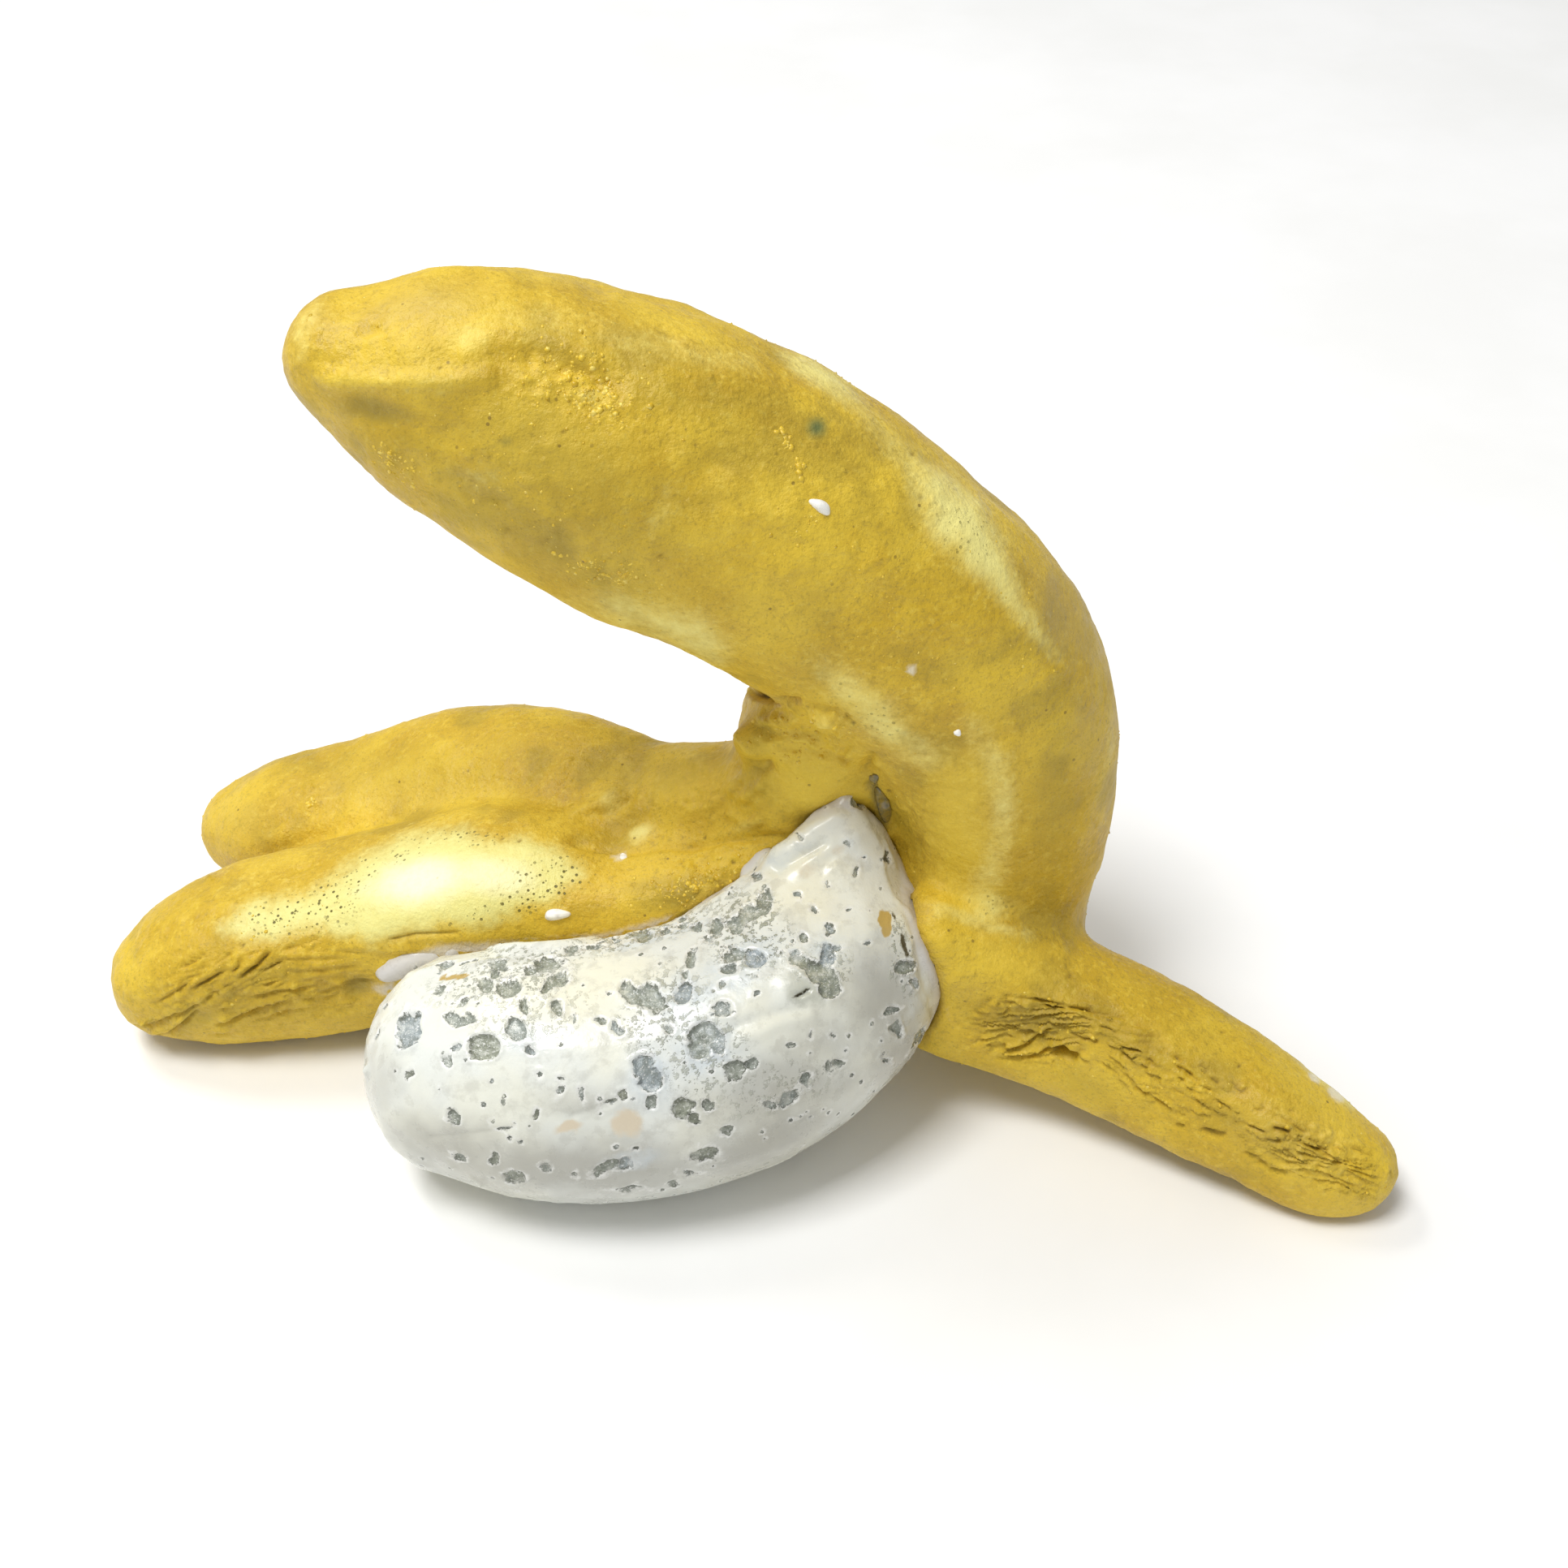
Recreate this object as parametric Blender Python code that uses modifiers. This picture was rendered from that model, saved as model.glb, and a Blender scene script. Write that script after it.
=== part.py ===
"""A half-peeled banana, hand-built in clay and glazed. Metres, +Z up.

It stands on Z = 0 with its origin at the bottom centre of its box. Its front, with
the pale flesh, faces -Y, and the stem end arches over towards -X.
Two solids: the yellow peel (the unpeeled half, the joint lump and three flaps, which
are one body as fired) and the pale flesh, seated in the peel with a fine gap.
"""

import math
from typing import NamedTuple

import bmesh
import bpy
from mathutils import Vector

MM = 0.001

# How the clay is put together, in mm
SEAT_GAP = 0.3
MELT_GRID = 1.3
GROUND_DEPTH = 20.0
GROUND_WIDTH = 300.0

# Mesh density
RING_STEP = 2.8
END_RINGS = 5
SIDES = 28
FLESH_SIDES = 32
SMOOTH_ROUNDS = 5
SMOOTH_SHARE = 0.5
FACES_KEPT = 0.095

FRONT = Vector((0, -1, 0))


class Ridge(NamedTuple):
    """A soft ridge along a roll, or a trough where its height is below zero.

    The angle is measured round the section: 0 faces the front and 90 the upper or outer
    side. The heights are shares of the radius at even steps along the roll.
    """

    first_angle: float
    last_angle: float
    heights: tuple
    sharpness: float


class Roll(NamedTuple):
    """A roll of clay, made before it is pressed onto the others.

    Each station is x, y and z of the middle, the half thickness from front to back, and
    the half thickness towards the upper or outer side, all in mm, and the section's turn
    in degrees. The ends are the lengths of the rounded ends in mm.
    """

    stations: tuple
    ends: tuple
    squareness: float
    ridges: tuple


# The unpeeled half, from its heel up and over to the stem stub
BODY = Roll(
    stations=(
        (29.0, 30.0, 12.0, 12.6, 12.0, 0),
        (28.4, 30.0, 24.0, 13.4, 12.8, 0),
        (28.4, 30.0, 38.0, 14.6, 14.3, 0),
        (26.0, 30.0, 52.0, 16.0, 15.8, 0),
        (18.0, 30.0, 64.8, 17.1, 16.8, 0),
        (5.8, 30.0, 75.8, 17.8, 17.5, 0),
        (-7.6, 30.0, 84.6, 17.8, 17.6, 0),
        (-22.4, 30.0, 91.8, 17.3, 17.2, 0),
        (-37.6, 30.0, 98.0, 14.4, 14.0, 0),
        (-50.4, 30.0, 103.4, 8.6, 8.0, 0),
    ),
    ends=(14.0, 5.4),
    squareness=2.15,
    ridges=(
        Ridge(40, 84, (0.00, 0.04, 0.07, 0.07, 0.04, 0.03), 12),
        Ridge(-32, -8, (0.00, 0.02, 0.03, 0.03, 0.04, 0.02), 14),
        Ridge(-78, -66, (0.00, 0.00, 0.04, 0.05, 0.03, 0.00), 14),
        Ridge(128, 150, (0.00, 0.04, 0.05, 0.05, 0.04, 0.00), 12),
        Ridge(205, 215, (0.00, 0.02, 0.04, 0.04, 0.03, 0.00), 12),
    ),
)

# The pale body, from its root inside the mouth out to its free end
FLESH = Roll(
    stations=(
        (12.6, 21.2, 23.4, 9.4, 9.6, 0),
        (9.0, 17.2, 22.8, 13.8, 13.6, 0),
        (2.6, 11.6, 20.8, 15.8, 16.0, 0),
        (-7.0, 5.8, 17.8, 16.4, 16.6, 0),
        (-20.0, 2.4, 16.2, 16.4, 16.6, 0),
        (-32.0, 2.2, 16.2, 15.9, 16.2, 0),
        (-41.0, 3.6, 15.6, 14.0, 14.2, 0),
    ),
    ends=(5.0, 12.4),
    squareness=2.1,
    ridges=(
        Ridge(98, 104, (1.15, 0.34, 0.03, 0.00, 0.00, 0.00), 18),
        Ridge(62, 50, (0.00, 0.02, 0.03, 0.03, 0.02, 0.00), 10),
        Ridge(-8, -4, (0.00, 0.02, 0.02, 0.03, 0.02, 0.00), 12),
    ),
)

FRONT_FLAP = Roll(
    stations=(
        (8.0, 28.0, 32.0, 7.0, 7.0, 0),
        (-8.0, 24.4, 27.0, 6.2, 6.4, 0),
        (-22.0, 25.0, 23.4, 7.6, 7.8, 0),
        (-34.5, 28.6, 21.2, 11.0, 11.6, 0),
        (-47.0, 30.2, 16.8, 12.6, 12.2, 0),
        (-62.0, 30.2, 12.4, 12.6, 12.0, 0),
        (-75.0, 28.4, 10.6, 11.8, 11.2, 0),
        (-83.4, 26.2, 9.2, 9.8, 9.2, 0),
        (-87.8, 24.8, 8.2, 7.0, 6.8, 0),
    ),
    ends=(4.0, 4.4),
    squareness=3.0,
    ridges=(
        Ridge(38, 30, (0.00, 0.00, 0.04, 0.05, 0.05, 0.00), 8),
        Ridge(-20, -30, (0.00, 0.00, 0.00, -0.05, -0.05, 0.00), 6),
    ),
)

BACK_FLAP = Roll(
    stations=(
        (8.0, 32.0, 37.0, 8.0, 8.0, 0),
        (-7.0, 35.4, 32.4, 8.4, 7.2, 0),
        (-18.4, 41.0, 26.6, 9.6, 8.2, -8),
        (-30.3, 47.6, 23.4, 11.6, 10.2, -14),
        (-43.0, 53.2, 18.4, 13.0, 11.8, -18),
        (-60.0, 55.6, 11.6, 12.2, 10.8, -14),
        (-74.0, 57.0, 9.0, 10.6, 9.6, -8),
        (-82.0, 59.0, 7.0, 6.8, 6.8, 0),
    ),
    ends=(4.0, 4.4),
    squareness=2.8,
    ridges=(
        Ridge(60, 60, (0.00, 0.00, 0.03, 0.04, 0.03, 0.00), 8),
    ),
)

# This one runs from its tip to its root, so that its section stands like the others
RIGHT_FLAP = Roll(
    stations=(
        (74.0, -5.2, 5.2, 5.4, 5.6, 0),
        (69.3, -4.2, 6.5, 7.1, 7.0, 0),
        (61.4, 0.2, 9.0, 8.6, 8.0, 0),
        (51.2, 6.5, 11.4, 9.6, 9.0, 0),
        (41.0, 11.6, 13.6, 9.6, 9.4, 0),
        (31.0, 15.0, 16.4, 9.4, 10.0, 0),
        (22.6, 17.4, 19.4, 9.8, 11.4, 0),
        (15.6, 19.6, 21.6, 10.4, 12.0, 0),
    ),
    ends=(4.6, 3.0),
    squareness=3.0,
    ridges=(
        Ridge(0, 0, (-0.03, -0.12, -0.17, -0.20, -0.16, -0.05), 5),
        Ridge(48, 52, (0.02, 0.06, 0.08, 0.08, 0.06, 0.04), 10),
        Ridge(-50, -46, (0.02, 0.04, 0.05, 0.06, 0.06, 0.04), 10),
    ),
)

# The lumps that join the flaps to the inner side of the unpeeled half
JOINT = Roll(
    stations=(
        (3.4, 32.0, 30.0, 10.0, 10.0, 0),
        (4.4, 32.4, 43.0, 10.0, 10.8, 0),
        (8.6, 31.0, 57.0, 10.0, 11.0, 0),
    ),
    ends=(6.0, 6.0),
    squareness=2.3,
    ridges=(
        Ridge(-60, -50, (0.00, 0.05, 0.08, 0.00), 10),
        Ridge(20, 30, (0.00, 0.06, 0.02, 0.00), 8),
        Ridge(-110, -110, (0.00, 0.04, 0.05, 0.00), 8),
    ),
)


def along(points, share):
    """The Catmull-Rom curve through equal-length tuples, at a share of its whole run."""
    spans = len(points) - 1
    place = min(max(share, 0.0) * spans, spans - 1e-9)
    index = int(place)
    t = place - index
    before = points[max(index - 1, 0)]
    start = points[index]
    end = points[index + 1]
    after = points[min(index + 2, spans)]
    values = []
    for a, b, c, d in zip(before, start, end, after):
        square = 2 * a - 5 * b + 4 * c - d
        cube = 3 * b - a - 3 * c + d
        values.append(0.5 * (2 * b + (c - a) * t + square * t**2 + cube * t**3))
    return values


def section_radius(roll, share, angle, front, outer, turn):
    """Distance from the middle to the surface: a rounded box with the roll's ridges."""
    turned = angle - math.radians(turn)
    power = roll.squareness
    box = abs(math.cos(turned) / front) ** power + abs(math.sin(turned) / outer) ** power
    swell = 1.0
    for ridge in roll.ridges:
        middle = math.radians(ridge.first_angle + (ridge.last_angle - ridge.first_angle) * share)
        height = along([(value,) for value in ridge.heights], share)[0]
        swell += height * math.exp(ridge.sharpness * (math.cos(angle - middle) - 1))
    return swell * box ** (-1 / power)


def rings_of(roll, sides):
    """Rings of points in mm along a roll, with the rounded ends, and the two end points."""
    run = sum(math.dist(a[:3], b[:3]) for a, b in zip(roll.stations, roll.stations[1:]))
    count = round(run / RING_STEP)
    places = [along(roll.stations, i / count) for i in range(count + 1)]
    middles = [Vector(place[:3]) for place in places]
    rows = []
    for i, place in enumerate(places):
        ahead = (middles[min(i + 1, count)] - middles[max(i - 1, 0)]).normalized()
        rows.append((i / count, middles[i], ahead, place[3:], 1.0))
    first_end = []
    last_end = []
    for i in range(1, END_RINGS):
        slope = math.pi / 2 * i / END_RINGS
        for made, row, sign, length in (
            (first_end, rows[0], -1, roll.ends[0]),
            (last_end, rows[-1], 1, roll.ends[1]),
        ):
            share, middle, ahead, sizes, _ = row
            moved = middle + ahead * (sign * length * math.sin(slope))
            made.append((share, moved, ahead, sizes, math.cos(slope)))
    tips = (
        rows[0][1] - rows[0][2] * roll.ends[0],
        rows[-1][1] + rows[-1][2] * roll.ends[1],
    )
    rings = []
    for share, middle, ahead, sizes, shrink in first_end[::-1] + rows + last_end:
        facing = (FRONT - ahead * FRONT.dot(ahead)).normalized()
        outer = ahead.cross(facing)
        ring = []
        for side in range(sides):
            angle = math.tau * side / sides
            radius = shrink * section_radius(roll, share, angle, *sizes)
            ring.append(middle + (facing * math.cos(angle) + outer * math.sin(angle)) * radius)
        rings.append(ring)
    return rings, tips


def make_roll(name, roll, sides=SIDES, grow=0.0):
    """A closed solid round the rings of a roll, made thicker all over by grow, in mm."""
    rings, tips = rings_of(roll, sides)
    mesh = bmesh.new()
    loops = [[mesh.verts.new(point * MM) for point in ring] for ring in rings]
    for one, two in zip(loops, loops[1:]):
        for side in range(sides):
            following = (side + 1) % sides
            mesh.faces.new((one[side], one[following], two[following], two[side]))
    for tip, loop in zip(tips, (loops[0], loops[-1])):
        point = mesh.verts.new(tip * MM)
        for side in range(sides):
            mesh.faces.new((point, loop[side], loop[(side + 1) % sides]))
    bmesh.ops.recalc_face_normals(mesh, faces=mesh.faces)
    mesh.normal_update()
    for point in mesh.verts:
        point.co += point.normal * grow * MM
    data = bpy.data.meshes.new(name)
    mesh.to_mesh(data)
    mesh.free()
    data.shade_smooth()
    return bpy.data.objects.new(name, data)


def glaze(name, colour, roughness):
    material = bpy.data.materials.new(name)
    material.use_nodes = True
    shader = material.node_tree.nodes["Principled BSDF"]
    shader.inputs["Base Color"].default_value = (*colour, 1)
    shader.inputs["Roughness"].default_value = roughness
    return material


def as_helper(obj, collection):
    """Files a lump or a cutter away: other objects use it, and it isn't part of the model."""
    collection.objects.link(obj)
    obj.hide_render = True
    obj.display_type = "WIRE"
    return obj


def add_collection(name, parent):
    collection = bpy.data.collections.new(name)
    parent.children.link(collection)
    return collection


def make_ground(collection):
    """A block whose top is the surface that the object stands on."""
    mesh = bmesh.new()
    bmesh.ops.create_cube(mesh, size=1.0)
    size = Vector((GROUND_WIDTH, GROUND_WIDTH, GROUND_DEPTH)) * MM
    bmesh.ops.scale(mesh, vec=size, verts=mesh.verts)
    bmesh.ops.translate(mesh, vec=(0, 0, -GROUND_DEPTH / 2 * MM), verts=mesh.verts)
    data = bpy.data.meshes.new("ground")
    mesh.to_mesh(data)
    mesh.free()
    return as_helper(bpy.data.objects.new("ground", data), collection)


def cut_away(obj, cutter):
    cut = obj.modifiers.new("cut by " + cutter.name, "BOOLEAN")
    cut.operation = "DIFFERENCE"
    cut.solver = "EXACT"
    cut.object = cutter


def press_together(peel, lumps):
    """Joins the lumps to the peel and softens the joints, as wet clay is smoothed over."""
    union = peel.modifiers.new("pressed together", "BOOLEAN")
    union.operation = "UNION"
    union.solver = "EXACT"
    union.operand_type = "COLLECTION"
    union.collection = lumps
    melt = peel.modifiers.new("melted joints", "REMESH")
    melt.mode = "VOXEL"
    melt.voxel_size = MELT_GRID * MM
    melt.use_smooth_shade = True
    smooth = peel.modifiers.new("smoothed over", "SMOOTH")
    smooth.factor = SMOOTH_SHARE
    smooth.iterations = SMOOTH_ROUNDS
    fewer = peel.modifiers.new("fewer faces", "DECIMATE")
    fewer.ratio = FACES_KEPT


def stand_on_origin(base, objects):
    """Moves the base so that the bottom centre of the objects' box is at the origin."""
    bpy.context.view_layer.update()
    graph = bpy.context.evaluated_depsgraph_get()
    corners = []
    for obj in objects:
        evaluated = obj.evaluated_get(graph)
        corners += [obj.matrix_world @ Vector(corner) for corner in evaluated.bound_box]
    for axis in (0, 1):
        values = [corner[axis] for corner in corners]
        base.location[axis] = -(min(values) + max(values)) / 2


def main():
    for obj in list(bpy.data.objects):
        bpy.data.objects.remove(obj)
    scene = bpy.context.scene.collection
    model = add_collection("clay_banana", scene)
    cutters = add_collection("cutters", scene)
    lumps = add_collection("lumps_of_clay", cutters)

    peel = make_roll("peel", BODY)
    flesh = make_roll("flesh", FLESH, FLESH_SIDES)
    for obj in (peel, flesh):
        model.objects.link(obj)
    pieces = {
        "front_flap": FRONT_FLAP,
        "back_flap": BACK_FLAP,
        "right_flap": RIGHT_FLAP,
        "joint": JOINT,
    }
    helpers = [as_helper(make_roll(name, roll), lumps) for name, roll in pieces.items()]
    seat = as_helper(make_roll("seat", FLESH, FLESH_SIDES, SEAT_GAP), cutters)
    ground = make_ground(cutters)
    helpers += [seat, ground]

    press_together(peel, lumps)
    cut_away(peel, seat)
    cut_away(peel, ground)
    cut_away(flesh, ground)
    peel.data.materials.append(glaze("yellow_glaze", (0.60, 0.40, 0.04), 0.45))
    flesh.data.materials.append(glaze("white_glaze", (0.80, 0.79, 0.74), 0.30))

    base = bpy.data.objects.new("base", None)
    scene.objects.link(base)
    for obj in [peel, flesh] + helpers:
        obj.parent = base
    stand_on_origin(base, (peel, flesh))


main()
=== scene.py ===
"""The looks of a half-peeled banana, hand-built in clay and glazed. Metres, +Z up.

Each of the frame's two solids is replaced by a finer skin of the same form, which
carries the hand-made relief: ridges, cracks, wrinkles, pits and the lip of glaze.
Crystals and drops of glaze are pieces of their own, sunk a little into the peel.
What the photo shows is placed by its pixel in the photo, which is 1932 pixels square.
Seeded marks of the same kinds finish the sides that the photo doesn't show.
"""

import math
from typing import NamedTuple

import bmesh
import bpy
import numpy as np
from mathutils import Matrix, Vector, noise
from mathutils.bvhtree import BVHTree


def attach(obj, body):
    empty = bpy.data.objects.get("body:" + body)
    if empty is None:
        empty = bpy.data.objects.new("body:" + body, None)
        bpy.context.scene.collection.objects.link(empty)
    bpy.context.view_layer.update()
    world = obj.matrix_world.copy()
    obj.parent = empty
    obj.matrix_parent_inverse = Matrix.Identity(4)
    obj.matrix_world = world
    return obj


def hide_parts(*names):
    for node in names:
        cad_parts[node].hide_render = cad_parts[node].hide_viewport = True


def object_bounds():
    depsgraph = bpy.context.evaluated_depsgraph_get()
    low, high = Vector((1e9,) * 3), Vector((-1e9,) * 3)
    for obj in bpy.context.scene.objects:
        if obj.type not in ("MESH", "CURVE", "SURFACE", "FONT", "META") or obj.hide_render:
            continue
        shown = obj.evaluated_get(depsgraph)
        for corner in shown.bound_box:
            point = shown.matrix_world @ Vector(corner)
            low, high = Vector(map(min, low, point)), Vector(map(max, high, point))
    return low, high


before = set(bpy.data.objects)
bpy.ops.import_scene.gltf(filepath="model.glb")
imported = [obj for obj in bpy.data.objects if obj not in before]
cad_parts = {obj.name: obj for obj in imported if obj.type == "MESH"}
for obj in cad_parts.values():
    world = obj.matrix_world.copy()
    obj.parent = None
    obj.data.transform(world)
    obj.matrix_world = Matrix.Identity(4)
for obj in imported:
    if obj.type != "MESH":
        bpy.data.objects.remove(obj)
cad_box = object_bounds()

MM = 0.001

# The camera, as the photo was taken: its frame and focal length in pixels
PHOTO_SIDE = 1932.0
FOCAL_LENGTH = 2683.0
SENSOR_WIDTH = 36.0
EYE = np.array((0.00708, -0.21328, 0.22200))
TILT = math.radians(50)
CAMERA_AXES = np.array(Matrix.Rotation(TILT, 3, "X"))
PIXEL = 0.105 * MM
# The distances from the eye that a line of sight past the clay is searched at
SEARCH = (0.20, 0.40, 81)

# Mesh density: the grid that each skin is rebuilt on, and the rounds of smoothing after it
PEEL_GRID = 1.18 * MM
PEEL_ROUNDS = 12
FLESH_GRID = 0.36 * MM
FLESH_ROUNDS = 20
LIP_ROUNDS = 12

# The unevenness that fingers and a brush leave: the sizes of its waves, dents, lumps and grain
WAVES = 15 * MM
DENTS = 9 * MM
BUMPS = 4.2 * MM
GRAIN = 1.5 * MM
# How strong it is on the pale glaze, which ran smoother than the yellow
FLESH_RELIEF = 0.45
# The ragged edges of painted ovals, and the shifts in pixels of the marks on the flesh
RAGGED = 3.0 * MM
COARSE_SHIFT = 7.0
FINE_SHIFT = 3.0

# How far off a skin the lines of sight start, and the reach that stands for out of sight
CLEAR = 0.4 * MM
FAR = 99.0


class Spot(NamedTuple):
    """An oval mark in the photo: its middle, half sizes, turn clockwise and strength."""

    x: float
    y: float
    wide: float
    high: float
    turn: float = 0.0
    amount: float = 1.0


class Stroke(NamedTuple):
    """A long mark along a path in the photo: its half width, its strength and how brown it is, as the
    brown of a crack and painted shade in its groove.
    """

    path: tuple
    width: float
    amount: float
    brown: float = 0.0


class Lump(NamedTuple):
    """A broad rise or dent of the clay around what the photo shows at a pixel, in mm."""

    x: float
    y: float
    radius: float
    height: float


class Swarm(NamedTuple):
    """Grains scattered over an oval in the photo, with their size range in mm."""

    spot: Spot
    count: int
    smallest: float
    largest: float


class Torn(NamedTuple):
    """An oval where the clay tore in layers: their heading, spacing in pixels and depth in mm."""

    spot: Spot
    heading: float
    spacing: float
    depth: float


def spots(*rows):
    """Spots from rows of their numbers, as the lists below have them."""
    return tuple(Spot(*row) for row in rows)


def lumps(*rows):
    """Lumps from rows of their numbers."""
    return tuple(Lump(*row) for row in rows)


def strokes(*rows):
    """Strokes from rows of a width, a strength, how brown it is, and then the path."""
    return tuple(Stroke(path, width, amount, brown) for width, amount, brown, *path in rows)


def over_ovals(kind, *rows):
    """Marks of a kind that covers an oval, from rows of the oval and then the kind's own numbers."""
    return tuple(kind(Spot(*oval), *rest) for oval, *rest in rows)


# Broad rises and dents that fit the outline to the photo's
LUMPS = lumps(
    (372, 492, 7.0, -1.0), (356, 425, 6.0, 0.8), (424, 357, 6.5, -1.8), (598, 340, 9.0, 0.7),
    (780, 366, 8.0, -0.5), (690, 404, 6.0, 0.5), (790, 432, 6.0, 0.6), (890, 468, 6.0, 0.5),
    (840, 540, 9.0, -0.5), (720, 510, 8.0, -0.4), (590, 500, 7.0, -0.3), (1000, 448, 7.0, 0.4),
    (1190, 585, 7.0, -0.6), (1330, 745, 6.0, 0.5), (535, 632, 8.0, -0.9), (745, 765, 6.0, 0.6),
    (640, 560, 12.0, -0.5), (720, 640, 7.0, 0.4), (510, 440, 7.0, 0.4), (1010, 760, 12.0, -0.6),
    (1150, 900, 9.0, 0.4), (1290, 1270, 8.0, -0.9), (1470, 1320, 8.0, -0.5), (1590, 1350, 8.0, 0.4),
    (1640, 1430, 6.0, -0.4), (440, 1225, 4.5, -0.5), (560, 1140, 6.0, 0.4), (745, 990, 4.0, 0.6),
    (360, 990, 7.0, 0.5), (480, 940, 8.0, -0.3), (860, 1080, 5.0, 0.3), (955, 1270, 9.0, 0.3),
    (620, 1400, 8.0, -0.3), (560, 1300, 9.0, 0.3), (932, 906, 2.6, 1.5), (946, 946, 2.2, -0.8),
    (903, 936, 2.6, -0.9), (1020, 884, 2.4, 0.7), (1072, 945, 2.0, -0.9), (280, 1120, 6.0, 0.4),
    (420, 1190, 5.0, -0.4), (820, 1052, 3.0, 0.6), (900, 1048, 3.0, 0.6),
)

# Rises of the peel alone, which bring it up against the edge of the pale glaze
SEAM_LUMPS = lumps(
    (1100, 1018, 2.0, 1.0), (1112, 1050, 2.6, 1.7), (1124, 1082, 3.0, 2.0), (1142, 1116, 3.0, 1.8),
    (1156, 1160, 3.0, 1.4), (1164, 1205, 3.0, 1.0), (1000, 985, 2.4, 0.8), (964, 1012, 2.4, 0.7),
    (950, 905, 3.2, 0.9), (1000, 940, 6.0, 0.7),
)

# Raised and sunk marks on the peel, with heights in mm
RAISED_STROKES = strokes(
    (15, 0.9, 0, (372, 470), (450, 470), (560, 472), (620, 462)),
    (16, 0.45, 0, (560, 452), (600, 420), (640, 412), (760, 448)),
    (16, 0.35, 0, (850, 650), (920, 634), (990, 640)),
    (12, 0.4, 0, (720, 745), (800, 775), (860, 800), (900, 828)),
    (14, 0.4, 0, (1236, 900), (1246, 1000), (1240, 1110)),
    (8, 0.6, 0, (1000, 878), (1020, 880), (1040, 890)),
    (6, 0.5, 0, (905, 985), (930, 975), (945, 955)),
    (5, 0.5, 0, (893, 1000), (925, 1012), (940, 1005)),
    (7, 0.6, 0, (700, 1010), (745, 990), (770, 972)),
    (13, 0.6, 0, (1150, 1115), (1200, 1125), (1260, 1152), (1330, 1172)),
    (10, 0.3, 0, (290, 1050), (380, 1020), (480, 1000), (600, 996), (680, 1020)),
    (8, 0.35, 0, (620, 1040), (700, 1062), (760, 1052), (850, 1048), (930, 1030)),
)
RAISED_SPOTS = spots(
    (929, 916, 22, 25, 0, 1.3), (966, 884, 26, 8, 6, 0.9), (1020, 930, 20, 7, 10, 0.7),
    (1042, 935, 8, 6, 0, 0.8), (1050, 924, 7, 6, 0, 0.6), (1034, 918, 6, 5, 0, 0.5),
    (952, 886, 10, 7, 0, 0.5), (984, 880, 8, 6, 0, 0.5), (902, 968, 8, 16, 10, 0.6),
    (922, 978, 9, 12, 0, 0.5), (938, 968, 7, 10, -10, 0.5), (880, 990, 14, 8, -20, 0.4),
    (855, 935, 30, 14, 15, 0.6), (788, 1030, 26, 16, -30, 0.6), (926, 1012, 22, 8, -20, 0.5),
    (1011, 624, 15, 7, 33, 0.3), (686, 1127, 17, 7, -5, 0.5), (1180, 903, 5, 5, 0, 0.5),
    (1123, 827, 5, 4, 0, 0.3), (700, 620, 60, 35, 20, 0.3), (1080, 1000, 7, 30, -8, 0.35),
    (426, 462, 5, 5, 0, 0.3), (459, 506, 5, 5, 0, 0.3), (534, 526, 5, 4, 0, 0.3),
    (641, 425, 5, 4, 0, 0.3), (665, 440, 6, 5, 0, 0.3), (983, 618, 6, 5, 0, 0.4),
    (983, 660, 6, 6, 0, 0.4), (1034, 649, 5, 4, 0, 0.3), (273, 1103, 10, 6, -20, 0.4),
    (259, 1082, 6, 5, 0, 0.4), (480, 562, 9, 6, 0, 0.3), (898, 600, 30, 18, 30, 0.25),
    (960, 700, 26, 20, 0, 0.3), (1090, 700, 40, 26, 40, 0.25), (382, 972, 7, 9, 0, 0.45),
    (391, 988, 8, 6, 0, 0.4), (378, 994, 6, 6, 0, 0.3), (434, 1004, 6, 5, 0, 0.3),
)
SUNK_STROKES = strokes(
    (4, 2.0, 0.95, (915, 846), (932, 857), (955, 864), (990, 867)),
    (4, 0.5, 0.15, (990, 868), (1030, 873), (1047, 886)),
    (5, 0.9, 0.5, (1077, 926), (1067, 940), (1066, 956)),
    (5, 0.6, 0.3, (918, 945), (938, 952), (950, 940)),
    (5, 0.5, 0.3, (1068, 962), (1078, 975), (1092, 992)),
    (2.6, 0.6, 0.4, (475, 1160), (512, 1151), (572, 1147)),
    (5, 0.9, 0.22, (690, 1030), (730, 1044), (770, 1050), (850, 1047), (919, 1034), (992, 1026)),
    (4, 0.8, 0.3, (924, 934), (938, 942), (952, 940)),
    (4, 0.5, 0.15, (736, 1006), (760, 1000), (786, 976)),
    (5, 0.3, 0.3, (452, 411), (464, 400)),
    (4, 0.3, 0, (361, 1072), (389, 1062)),
    (22, 0.6, 0, (420, 500), (500, 526), (570, 548)),
    (14, 0.4, 0, (640, 436), (700, 452), (780, 478)),
    (18, 0.35, 0, (800, 620), (850, 600), (900, 560)),
    (20, 0.3, 0, (560, 610), (640, 650), (720, 700)),
    (8, 0.35, 0.12, (582, 623), (615, 622), (649, 617)),
    (14, 0.3, 0, (600, 440), (680, 440), (760, 470)),
)
SUNK_SPOTS = spots(
    (448, 402, 12, 8, -40, 0.3), (735, 352, 26, 16, 20, 0.4), (830, 905, 24, 10, 10, 0.4),
    (442, 1221, 24, 16, 0, 0.3), (1308, 1270, 10, 6, 20, 0.6), (1312, 1300, 16, 8, 20, 1.3),
    (930, 760, 34, 26, 0, 0.3), (560, 600, 30, 18, 30, 0.3),
)
PINHOLE_SIZE = (3.4, 3.0)
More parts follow.
